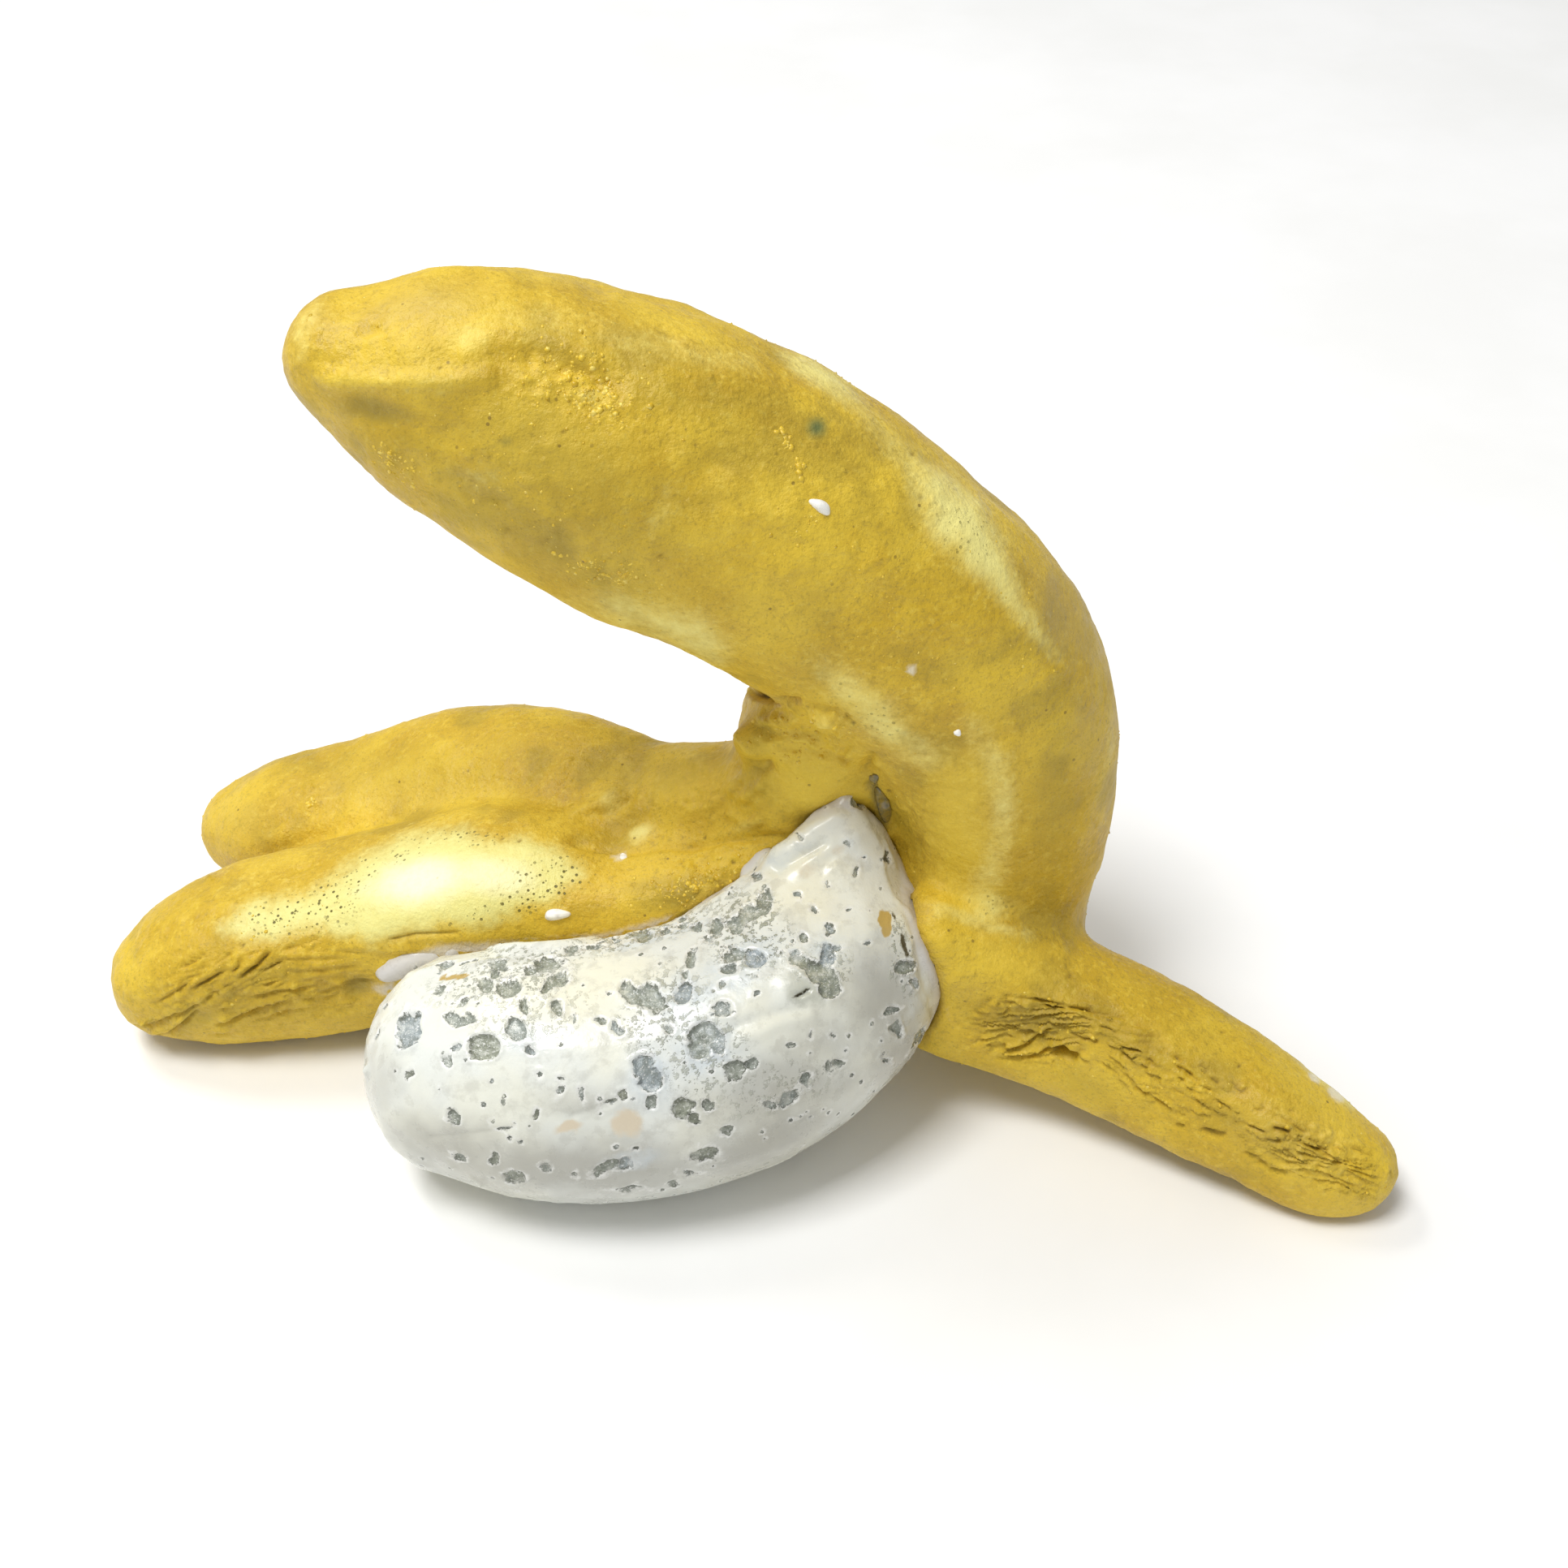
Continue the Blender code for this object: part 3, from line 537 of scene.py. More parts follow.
MILKY_SPOTS = spots(
    (842, 1232, 44, 34, 0, 0.9), (866, 1290, 46, 46, 0, 0.9), (800, 1326, 36, 44, 0, 0.9),
    (930, 1172, 40, 26, -20, 0.9), (890, 1210, 50, 30, 0, 0.8), (640, 1280, 40, 24, 0, 0.5),
    (960, 1060, 60, 10, -30, 0.5), (820, 1150, 90, 10, -12, 0.8), (505, 1268, 22, 34, 10, 0.6),
    (1020, 1170, 26, 26, 0, 0.6), (780, 1430, 40, 12, -10, 0.6),
)
# The grey blob of glaze in the middle of the flesh, and the dark slit under it
BLOB = Spot(994, 1216, 40, 30, 10, 0.6)
SLIT = Stroke(((979, 1229), (989, 1224), (997, 1219)), 2.6, 0.9, 1.0)
# Where each of them starts and ends to fade, and whether its edge is ragged
FLESH_PAINTS = (
    ("peach", PEACH_SPOTS, 0.4, 1.2, True), ("bare", BARE_SPOTS, 0.75, 1.1, False),
    ("dark_crevice", DARK_CREVICE_SPOTS, 0.4, 1.2, False), ("cream", CREAM_FLESH_SPOTS, 0.2, 1.3, True),
    ("shade", SHADE_FLESH_SPOTS, 0.1, 1.4, True), ("mottle", MOTTLED_SPOTS, 0.5, 1.2, True),
    ("milky", MILKY_SPOTS, 0.2, 1.3, True), ("blob", (BLOB,), 0.6, 1.1, True),
)
# Clouds of colour on its hidden sides: strength, size in mm, seed, and where they start and end
HIDDEN_FLESH_PAINTS = (
    ("peach", 0.5, 14, 72, 0.3, 0.6), ("cream", 0.6, 20, 73, 0.0, 0.5), ("mottle", 0.6, 16, 74, 0.2, 0.5),
)
# Sunk and raised marks on the flesh
FLESH_GROOVES = strokes(
    (6, 0.6, 0, (948, 1078), (985, 1056), (1024, 1034)),
    (5, 0.35, 0, (520, 1402), (580, 1399), (642, 1390)),
    (4, 0.3, 0, (700, 1376), (730, 1368), (765, 1356)),
    (7, 0.3, 0, (890, 1272), (950, 1249), (1000, 1238)),
    (8, 0.2, 0, (480, 1390), (540, 1440), (620, 1466)),
    (6, 0.3, 0, (1165, 1268), (1140, 1230), (1128, 1160)),
)
FLESH_RIDGES = strokes(
    (10, 0.5, 0, (925, 1068), (975, 1040), (1020, 1012), (1046, 996)),
    (8, 0.3, 0, (900, 1290), (960, 1262), (1010, 1250)),
    (7, 0.35, 0, (550, 1165), (650, 1166), (740, 1158), (820, 1140), (895, 1112)),
    (16, 0.4, 0, (1020, 1060), (1060, 1100), (1080, 1160)),
)
# Nubs of glaze along the flesh's lower edge, as small swellings
NUBS = ((453, 1319, 0.8, 0.0), (556, 1438, 0.6, 0.0), (592, 1459, 0.7, 0.0), (580, 1452, 0.5, 0.0))

# The lip of pale glaze that ran over the peel, along the edge that the photo shows
LIP_EDGE = (
    (545, 1172), (620, 1168), (690, 1165), (760, 1152), (820, 1134), (862, 1121), (896, 1104),
    (921, 1078), (940, 1060), (986, 1038), (1008, 1018), (1028, 997), (1045, 986),
)
RIM_EDGE = (
    (1066, 994), (1082, 1026), (1093, 1042), (1095, 1074), (1110, 1114), (1121, 1136), (1130, 1175),
    (1137, 1203), (1150, 1240),
)
# How far in and out from its edge the lip runs, in pixels, and its radii there
LIP_RUN = (26, 0, 2.4 * MM, 0.9 * MM)
RIM_RUN = (24, -7, 1.8 * MM, 0.6 * MM)
# The lip's steps along the edge in pixels, the balls across it, and the widest gap that it spans
LIP_STEP = 5
LIP_BALLS = 8
LIP_GAP = 9 * MM
# Small swellings of that lip: the middle in pixels, the radius and how deep it is sunk, in mm
LIP_BULBS = (
    (474, 1203, 1.3, 0.6), (483, 1199, 1.4, 0.6), (492, 1195, 1.5, 0.7), (502, 1191, 1.5, 0.8),
    (512, 1187, 1.5, 0.9), (522, 1184, 1.4, 1.0), (533, 1181, 1.3, 1.0), (545, 1178, 1.2, 1.0),
    (557, 1175, 1.1, 0.9), (506, 1201, 1.5, 1.0), (516, 1198, 1.6, 1.2), (527, 1194, 1.6, 1.3),
    (539, 1190, 1.5, 1.3), (551, 1186, 1.4, 1.2), (500, 1210, 1.3, 1.0), (1106, 1112, 0.8, 0.4),
    (1113, 1121, 0.9, 0.4), (1119, 1131, 0.8, 0.4), (1084, 1014, 0.7, 0.3), (1092, 1040, 0.7, 0.3),
)

# The studio, with each lamp's name, place, size and power
FLOOR_HALF = 2.0
BACKDROP_LIGHT = 0.36
LAMP_AIM = Vector((0, 0, 0.03))
LAMPS = (("overhead", (-0.46, -0.32, 1.55), 0.62, 18.5), ("window", (-0.36, 0.26, 0.70), 0.2, 1.8))


def soft(values, start, end):
    """0 before start and 1 past end, with a smooth slope between them."""
    share = np.clip((np.asarray(values, float) - start) / (end - start), 0, 1)
    return share * share * (3 - 2 * share)


def numbers(collection, name):
    """One vector for each item of a mesh's collection, as an array."""
    found = np.empty(len(collection) * 3, np.float32)
    collection.foreach_get(name, found)
    return found.reshape(-1, 3).astype(float)


def to_pixels(points):
    """Where the photo shows each point."""
    local = (points - EYE) @ CAMERA_AXES
    flat = np.column_stack((local[:, 0], -local[:, 1]))
    return flat * (FOCAL_LENGTH / -local[:, 2:3]) + PHOTO_SIDE / 2


def sight_line(x, y):
    """The direction in which the camera sees a pixel of the photo."""
    middle = PHOTO_SIDE / 2
    local = np.array(((x - middle) / FOCAL_LENGTH, (middle - y) / FOCAL_LENGTH, -1.0))
    return Vector(CAMERA_AXES @ local).normalized()


def seen_at(tree, x, y):
    """The point and the normal that the photo shows at a pixel, or None twice."""
    return tree.ray_cast(Vector(EYE), sight_line(x, y))[:2]


def turned(offsets, degrees):
    """Distances along and across a direction that is turned clockwise in the photo."""
    turn = math.radians(degrees)
    return offsets @ (math.cos(turn), math.sin(turn)), offsets @ (-math.sin(turn), math.cos(turn))


def reach_of(spot, pixels):
    """Distance of each pixel from a spot's middle, which is 1 at the spot's edge."""
    along, across = turned(pixels - (spot.x, spot.y), spot.turn)
    return np.hypot(along / spot.wide, across / spot.high)


def beside(places, start, run):
    """The share of a straight run that each place has passed, and its offset from the run there."""
    offset = places - start
    share = np.clip(offset @ run / (run @ run), 0, 1)
    return share, offset - share[:, None] * run


def from_middle(spot, along, across):
    """The pixel that lies this far along and across a spot's own axes."""
    turn = math.radians(spot.turn)
    x = spot.x + along * math.cos(turn) - across * math.sin(turn)
    y = spot.y + along * math.sin(turn) + across * math.cos(turn)
    return x, y


def noise_at(points, size, seed, octaves=1):
    """Smooth noise, mostly from -1 to 1, with bumps about size across."""
    shift = np.array((17.3, 5.1, 9.7)) * seed
    places = (points / size + shift).tolist()
    return np.array([noise.fractal(place, 1.0, 2.0, octaves) for place in places])


def within_box(points):
    """The points, none of them outside the frame's box."""
    low, high = (np.array(corner) for corner in cad_box)
    return np.clip(points, low, high)


def tree_of(objects):
    """A search tree over the faces of all these objects."""
    points = []
    faces = []
    for obj in objects:
        start = len(points)
        points += [vertex.co.copy() for vertex in obj.data.vertices]
        faces += [[start + i for i in face.vertices] for face in obj.data.polygons]
    return BVHTree.FromPolygons(points, faces)


def seen_from_eye(points, normals, tree):
    """How well the photo sees each point: 1 face on, and 0 where it is hidden."""
    to_eye = EYE - points
    to_eye /= np.linalg.norm(to_eye, axis=1)[:, None]
    facing = np.einsum("ij,ij->i", normals, to_eye)
    seen = soft(facing, 0.0, 0.22)
    starts = points + normals * CLEAR
    for i in np.flatnonzero(seen):
        if tree.ray_cast(Vector(starts[i]), Vector(to_eye[i]))[0] is not None:
            seen[i] = 0.0
    return seen


class Skin:
    """The points of a piece as arrays, with the relief and colours that they gather."""

    def __init__(self, obj, tree):
        mesh = obj.data
        self.obj = obj
        self.points = numbers(mesh.vertices, "co")
        self.normals = numbers(mesh.vertex_normals, "vector")
        self.pixels = to_pixels(self.points)
        self.seen = seen_from_eye(self.points, self.normals, tree)
        self.sure = soft(self.seen, 0, 0.6)
        self.hidden = 1 - soft(self.seen, 0, 0.5)
        self.height = np.zeros(len(self.points))
        self.colours = {}

    def warp(self, coarse, fine):
        """Shifts where the photo shows each point by noise in pixels, so that marks get ragged edges."""
        for size, reach, seed in ((2.2 * MM, coarse, 91), (0.9 * MM, fine, 95)):
            shifts = [reach * noise_at(self.points, size, seed + k) for k in (0, 1)]
            self.pixels = self.pixels + np.column_stack(shifts)

    def reach(self, spot):
        """Distance from a spot's middle: 1 at its edge, and far where the photo is blind."""
        return np.where(self.seen > 0, reach_of(spot, self.pixels), FAR)

    def off_line(self, stroke):
        """Distance from a stroke's path in half widths, below it if positive, and the share passed."""
        nearest = np.full(len(self.points), FAR)
        passed = np.zeros(len(self.points))
        corners = np.array(stroke.path, float)
        margin = 4 * stroke.width
        inside = self.seen > 0
        inside &= np.all(self.pixels > corners.min(0) - margin, axis=1)
        inside &= np.all(self.pixels < corners.max(0) + margin, axis=1)
        places = self.pixels[inside]
        found = np.full(len(places), FAR)
        shares = np.zeros(len(places))
        spans = len(corners) - 1
        for i in range(spans):
            run = corners[i + 1] - corners[i]
            share, gap = beside(places, corners[i], run)
            side = np.sign(run[0] * gap[:, 1] - run[1] * gap[:, 0])
            off = np.hypot(gap[:, 0], gap[:, 1]) / stroke.width * side
            closer = np.abs(off) < np.abs(found)
            found = np.where(closer, off, found)
            shares = np.where(closer, (i + share) / spans, shares)
        nearest[inside] = found
        passed[inside] = shares
        return nearest, passed

    def on_band(self, band):
        """How strongly a band of changing width marks each point."""
        strongest = np.zeros(len(self.points))
        corners = np.array(band, float)
        for one, two in zip(corners, corners[1:]):
            share, offset = beside(self.pixels, one[:2], (two - one)[:2])
            gap = np.linalg.norm(offset, axis=1)
            width = one[2] + (two[2] - one[2]) * share
            amount = one[3] + (two[3] - one[3]) * share
            strongest = np.maximum(strongest, amount * np.exp(-((gap / width) ** 2)))
        return strongest * self.sure

    def inside_outline(self, outline):
        """Distance in pixels from a closed outline, positive inside it."""
        corners = np.array(outline, float)
        nearest = np.full(len(self.points), PHOTO_SIDE)
        inside = np.zeros(len(self.points), bool)
        x, y = self.pixels.T
        for one, two in zip(corners, np.roll(corners, -1, axis=0)):
            run = two - one
            nearest = np.minimum(nearest, np.linalg.norm(beside(self.pixels, one, run)[1], axis=1))
            slope = run[0] / run[1] if run[1] else 0.0
            inside ^= ((one[1] > y) != (two[1] > y)) & (x < one[0] + (y - one[1]) * slope)
        return np.where(self.seen > 0, np.where(inside, nearest, -nearest), -PHOTO_SIDE)

    def lift(self, amounts):
        """Raises the skin by these amounts, in mm."""
        self.height += np.asarray(amounts) * MM

    def paint(self, name, amounts):
        """Keeps the larger of what a colour has at each point and these amounts."""
        amounts = np.clip(amounts, -9, 9)
        before = self.colours.get(name)
        self.colours[name] = amounts if before is None else np.maximum(before, amounts)

    def finish(self):
        """Moves the points along their normals, within the frame's box, and keeps the colours."""
        moved = within_box(self.points + self.normals * self.height[:, None])
        mesh = self.obj.data
        mesh.vertices.foreach_set("co", moved.astype(np.float32).ravel())
        for name, amounts in self.colours.items():
            kept = mesh.attributes.new(name, "FLOAT", "POINT")
            kept.data.foreach_set("value", amounts.astype(np.float32))
        mesh.shade_smooth()
        mesh.update()


def apply_modifiers(obj):
    """Puts what the modifiers make in the place of the mesh."""
    graph = bpy.context.evaluated_depsgraph_get()
    mesh = bpy.data.meshes.new_from_object(obj.evaluated_get(graph))
    obj.modifiers.clear()
    old = obj.data
    obj.data = mesh
    bpy.data.meshes.remove(old)


def add_object(name, data):
    """A new object in the scene for this mesh, camera or lamp."""
    obj = bpy.data.objects.new(name, data)
    bpy.context.scene.collection.objects.link(obj)
    return obj


def object_of(name, points, faces):
    """A new object from arrays of points and of faces."""
    data = bpy.data.meshes.new(name)
    data.from_pydata(points, [], faces)
    data.update()
    return add_object(name, data)


def parts_of(mesh):
    """The points and faces of an edited mesh, which is then freed."""
    mesh.verts.index_update()
    points = [tuple(vertex.co) for vertex in mesh.verts]
    faces = [[vertex.index for vertex in face.verts] for face in mesh.faces]
    mesh.free()
    return points, faces


def unit_ball(subdivisions):
    """The points and triangles of a ball of radius 1, as arrays."""
    mesh = bmesh.new()
    bmesh.ops.create_icosphere(mesh, subdivisions=subdivisions, radius=1)
    return tuple(np.array(part) for part in parts_of(mesh))


def welded_parts(node):
    """A node's points and faces, with its split corners joined again."""
    mesh = bmesh.new()
    mesh.from_mesh(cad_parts[node].data)
    bmesh.ops.remove_doubles(mesh, verts=mesh.verts, dist=0.001 * MM)
    return parts_of(mesh)


def make_finer(obj, grid, rounds):
    """Rebuilds a mesh on a fine grid and smooths its facets away."""
    finer = obj.modifiers.new("finer", "REMESH")
    finer.mode = "VOXEL"
    finer.voxel_size = grid
    relax(obj, rounds)


def relax(obj, rounds):
    """Smooths a mesh gently, this many times over."""
    gentle = obj.modifiers.new("gentle", "SMOOTH")
    gentle.factor = 0.5
    gentle.iterations = rounds
    apply_modifiers(obj)


def split_faces(obj, tree, areas=None):
    """Splits into four each face that the photo sees, or each of them within these areas."""
    middles = numbers(obj.data.polygons, "center")
    wanted = seen_from_eye(middles, numbers(obj.data.polygons, "normal"), tree) > 0
    if areas:
        pixels = to_pixels(middles)
        wanted &= np.any([reach_of(area, pixels) < 1 for area in areas], axis=0)
    mesh = bmesh.new()
    mesh.from_mesh(obj.data)
    mesh.faces.ensure_lookup_table()
    edges = {edge for i in np.flatnonzero(wanted) for edge in mesh.faces[int(i)].edges}
    bmesh.ops.subdivide_edges(mesh, edges=sorted(edges, key=lambda e: e.index), cuts=1, use_grid_fill=True)
    mesh.to_mesh(obj.data)
    mesh.free()


def make_peel_mesh(tree):
    """The peel's mesh: fine where the photo sees it, and finest where the clay tore."""
    obj = object_of("glazed_peel", *welded_parts("peel"))
    make_finer(obj, PEEL_GRID, PEEL_ROUNDS)
    split_faces(obj, tree)
    relax(obj, 2)
    split_faces(obj, tree, FINER)
    relax(obj, 1)
    split_faces(obj, tree, FINEST)
    relax(obj, 1)
    return obj


def shape_lumps(skin, tree, lumps):
    """Broad rises and dents, round the points that the photo shows at their pixels."""
    for lump in lumps:
        middle, normal = seen_at(tree, lump.x, lump.y)
        if middle is None:
            middle, normal = near_miss(tree, lump)
        away = np.linalg.norm(skin.points - middle, axis=1) / (lump.radius * MM)
        same_side = soft(skin.normals @ np.array(normal), -0.2, 0.3)
        skin.lift(lump.height * np.exp(-(away**2)) * same_side)


def near_miss(tree, lump):
    """The point of the clay nearest to the line of sight past it."""
    aim = sight_line(lump.x, lump.y)
    tries = (Vector(EYE) + aim * distance for distance in np.linspace(*SEARCH))
    return min((tree.find_nearest(place) for place in tries), key=lambda found: found[3])[:2]


def relief_by_hand(skin, seed, strength=1.0):
    """The uneven surface that fingers and a brush leave: waves, dents, lumps and grain."""
    waves = noise_at(skin.points, WAVES, seed, 2)
    dents = 0.25 - np.abs(noise_at(skin.points, DENTS, seed + 1))
    bumps = noise_at(skin.points, BUMPS, seed + 2, 2)
    grain = noise_at(skin.points, GRAIN, seed + 3, 2)
    skin.lift(strength * (0.40 * waves + 0.34 * dents + 0.13 * bumps + 0.045 * grain))
    skin.paint("rise", 0.6 * waves + 0.5 * dents + 0.35 * bumps)


def roughen(skin):
    """Bumps and small pits of the glaze, coarse everywhere and fine where it is rough."""
    amount = np.full(len(skin.points), 0.05)
    for mark in ROUGH_SPOTS:
        amount = np.maximum(amount, mark.amount * (1 - soft(skin.reach(mark), 0.3, 1.3)))
    broad = noise_at(skin.points, 1.9 * MM, 44, 2)
    knobs = np.maximum(noise_at(skin.points, 1.2 * MM, 46), 0) ** 1.5
    skin.lift(amount * (0.8 * broad + 2.4 * knobs))
    skin.paint("knobs", soft(amount * knobs, 0.02, 0.14))


def press_spots(skin, marks, sign):
    """Raises the skin over ovals, or sinks it if the sign is negative."""
    for mark in marks:
        skin.lift(sign * mark.amount * (1 - soft(skin.reach(mark), 0.25, 1.25)) * skin.seen)


def press_strokes(skin, marks, sign):
    """Raises or sinks the skin along strokes, and darkens the brown ones with the brown of a crack and
    painted shade in the crease.
    """
    for mark in marks:
        off, passed = skin.off_line(mark)
        taper = soft(passed, 0.0, 0.12) * (1 - soft(passed, 0.88, 1.0))
        skin.lift(sign * mark.amount * np.exp(-(off**2)) * taper * skin.seen)
        skin.paint("cracks_and_shade", mark.brown * np.exp(-((off / 0.65) ** 2)) * taper * skin.seen)


def broken_strokes():
    """Seeded short cracks over the fields where the clay tore, each along its field's heading."""
    rng = np.random.default_rng(DASH_SEED)
    for field, count in zip(DASHES, DASH_COUNTS):
        for _ in range(count):
            spread = math.sqrt(rng.random())
            angle = rng.random() * math.tau
            along = math.cos(angle) * spread * field.spot.wide
            across = math.sin(angle) * spread * field.spot.high
            x, y = from_middle(field.spot, along, across)
            way = math.radians(field.heading + rng.normal(0, 6))
            step = field.spacing * rng.uniform(0.15, 0.6)
            path = []
            for _ in range(DASH_CORNERS):
                path.append((x, y))
                x += math.cos(way) * step
                y += math.sin(way) * step
                way += rng.normal(0, 0.2)
            depth = field.depth * rng.uniform(0.6, 1.4)
            yield Stroke(tuple(path), rng.uniform(*DASH_WIDTHS), depth, min(0.8, 1.3 * depth))


def tear_layers(skin):
    """Layers of torn clay: steps that run along each field, and broken cracks across them, darkened with
    brown and painted shade in their recesses.
    """
    for k, field in enumerate(TORN):
        inside = 1 - soft(skin.reach(field.spot), 0.55, 1.15)
        here = np.flatnonzero(inside)
        along, across = turned(skin.pixels[here] - (field.spot.x, field.spot.y), field.heading)
        drawn_out = np.column_stack((along / 60, across / 18, np.full(len(here), 7.0 * k)))
        wander = noise_at(drawn_out, 1.0, 31, 2)
        layer = across / field.spacing + 1.5 * wander
        step = layer - np.floor(layer)
        broken = soft(noise_at(drawn_out * (2.2, 1.6, 1), 1.0, 33, 2), -0.45, 0.1) * inside[here]
        rise = np.zeros(len(skin.points))
        rise[here] = field.depth * (step**1.4 - 0.55) * broken
        skin.lift(rise * skin.seen)
        # Painted shade: dark just past each step's drop, in the recess under the layer above
        shade = np.zeros(len(skin.points))
        shade[here] = min(0.42, 0.8 * field.depth) * (1 - soft(step, 0.05, 0.26)) * broken
        skin.paint("cracks_and_shade", shade * skin.seen)
    for mark in WRINKLES + tuple(broken_strokes()):
        off, passed = skin.off_line(mark)
        taper = soft(passed, 0.0, 0.25) * (1 - soft(passed, 0.75, 1.0)) * skin.seen
        groove = np.exp(-(((off - 0.3) / 0.9) ** 2)) - 0.5 * np.exp(-(((off + 1.6) / 1.1) ** 2))
        skin.lift(-mark.amount * groove * taper)
        # Brown and painted shade along the groove
        skin.paint("cracks_and_shade", mark.brown * np.exp(-(((off - 0.2) / 0.8) ** 2)) * taper)


def paint_ovals(skin, paints, ragged):
    """Paints each colour over its ovals, from whole at start to none at end."""
    for name, marks, start, end, is_ragged in paints:
        skin.paint(name, np.zeros(len(skin.points)))
        for mark in marks:
            inside = 1 - soft(skin.reach(mark) + ragged * is_ragged, start, end)
            skin.paint(name, mark.amount * inside * skin.sure)


def paint_peel(skin):
    """The peel's colours, each as a share from 0 to 1 kept on its points."""
    ragged = 0.16 * noise_at(skin.points, RAGGED, 41, 2)
    paint_ovals(skin, PEEL_PAINTS, ragged)
    for band in PALE_BANDS:
        skin.paint("pale", skin.on_band(band) * np.clip(1 + 2.0 * ragged, 0.4, 1.5))
    for band in FILM_BANDS:
        skin.paint("film", skin.on_band(band))
    skin.paint("cream", soft(skin.inside_outline(CREAM_PATCH) + 50 * ragged, -20, 22))
    off, passed = skin.off_line(DRIP)
    skin.paint("glass", DRIP.amount * np.exp(-(off**4)) * skin.seen)
    skin.lift(0.5 * np.exp(-(off**2)) * soft(passed, 0.0, 0.6) * skin.seen)
    holes = np.zeros(len(skin.points))
    for x, y in PINHOLES:
        holes = np.maximum(holes, np.exp(-(skin.reach(Spot(x, y, *PINHOLE_SIZE)) ** 2)))
    skin.lift(-0.3 * holes)
    skin.paint("cracks_and_shade", 0.8 * holes)


def paint_hidden_peel(skin):
    """A guess at the sides that the photo doesn't show: worn ridges, dull hollows, torn layers."""
    worn = soft(noise_at(skin.points, 26 * MM, 51), 0.25, 0.6) * soft(skin.colours["rise"], 0.0, 0.35)
    dull = soft(noise_at(skin.points, 18 * MM, 52), 0.1, 0.5)
    skin.paint("pale", 0.75 * worn * skin.hidden)
    skin.paint("olive_and_shade", 0.5 * dull * skin.hidden)
    skin.paint("tan_and_shade", 0.5 * (1 - dull) * skin.hidden)
    skin.paint("pores", 0.6 * worn * skin.hidden)
    layers = np.abs(noise_at(skin.points * (1, 4.5, 4.5), 9 * MM, 53, 2))
    torn = soft(noise_at(skin.points, 20 * MM, 54), 0.12, 0.4) * skin.hidden
    low = 1 - soft(skin.points[:, 2], 22 * MM, 34 * MM)
    lines = (1 - soft(layers, 0.0, 0.09)) * torn * low
    skin.lift(-0.3 * lines)
    skin.paint("cracks_and_shade", 0.4 * lines)


def make_peel(tree):
    """The peel's skin, from its mesh to its last mark."""
    obj = make_peel_mesh(tree)
    skin = Skin(obj, tree)
    shape_lumps(skin, tree, LUMPS + SEAM_LUMPS)
    relief_by_hand(skin, 1)
    roughen(skin)
    press_spots(skin, RAISED_SPOTS, 1)
    press_spots(skin, SUNK_SPOTS, -1)
    press_strokes(skin, RAISED_STROKES, 1)
    press_strokes(skin, SUNK_STROKES, -1)
    tear_layers(skin)
    paint_peel(skin)
    paint_hidden_peel(skin)
    skin.finish()
    return obj


def even_path(corners, step):
    """Points every step pixels along a path, with the direction there."""
    corners = np.array(corners, float)
    runs = np.linalg.norm(np.diff(corners, axis=0), axis=1)
    marks = np.concatenate(((0,), np.cumsum(runs)))
    shares = np.arange(0, marks[-1], step)
    places = np.column_stack([np.interp(shares, marks, corners[:, k]) for k in (0, 1)])
    ways = np.gradient(places, axis=0)
    return places, ways / np.linalg.norm(ways, axis=1)[:, None]


def run_of_glaze(tree, edge, inward, outward, thick, thin):
    """Middles and radii of balls that make a lip of glaze from the flesh onto the peel."""
    places, ways = even_path(edge, LIP_STEP)
    for place, way in zip(places, ways):
        side = np.array((-way[1], way[0]))
        inner, inner_way = seen_at(tree, *(place + side * inward))
        outer, outer_way = seen_at(tree, *(place - side * outward))
        if inner is None or outer is None or (inner - outer).length > LIP_GAP:
            continue
        wavy = 1 + 0.2 * noise.noise(inner / (3.5 * MM))
        deep = inner - inner_way * thick * 0.92
        shallow = outer - outer_way * thin * 0.35
        for share in np.linspace(0, 1, LIP_BALLS):
            yield deep.lerp(shallow, share), (thick + (thin - thick) * share) * wavy


def make_flesh_mesh(tree):
    """The flesh's fine mesh, with the lip of glaze that ran over the peel fused on."""
    obj = object_of("glazed_flesh", *welded_parts("flesh"))
    make_finer(obj, FLESH_GRID, FLESH_ROUNDS)
    points = numbers(obj.data.vertices, "co").tolist()
    faces = [list(face.vertices) for face in obj.data.polygons]
    balls = [*run_of_glaze(tree, LIP_EDGE, *LIP_RUN), *run_of_glaze(tree, RIM_EDGE, *RIM_RUN)]
    for x, y, radius, sunk in LIP_BULBS + NUBS:
        middle, normal = seen_at(tree, x, y)
        if middle is not None:
            balls.append((middle - normal * sunk * MM, radius * MM))
    ball_points, ball_faces = unit_ball(2)
    for middle, radius in balls:
        faces += (ball_faces + len(points)).tolist()
        points += (ball_points * radius + np.array(middle)).tolist()
    joined = bpy.data.meshes.new("glazed_flesh")
    joined.from_pydata(points, [], faces)
    obj.data = joined
    make_finer(obj, FLESH_GRID, LIP_ROUNDS)
    return obj


def close_seat(skin, peel_tree):
    """Swells the flesh where it nears the peel, so that the glaze closes the fine gap."""
    away = np.array([peel_tree.find_nearest(Vector(point))[3] for point in skin.points])
    skin.lift(0.35 * (1 - soft(away, 0.4 * MM, 1.8 * MM)))
    skin.paint("lip", 1 - soft(away, 0.6 * MM, 2.6 * MM))


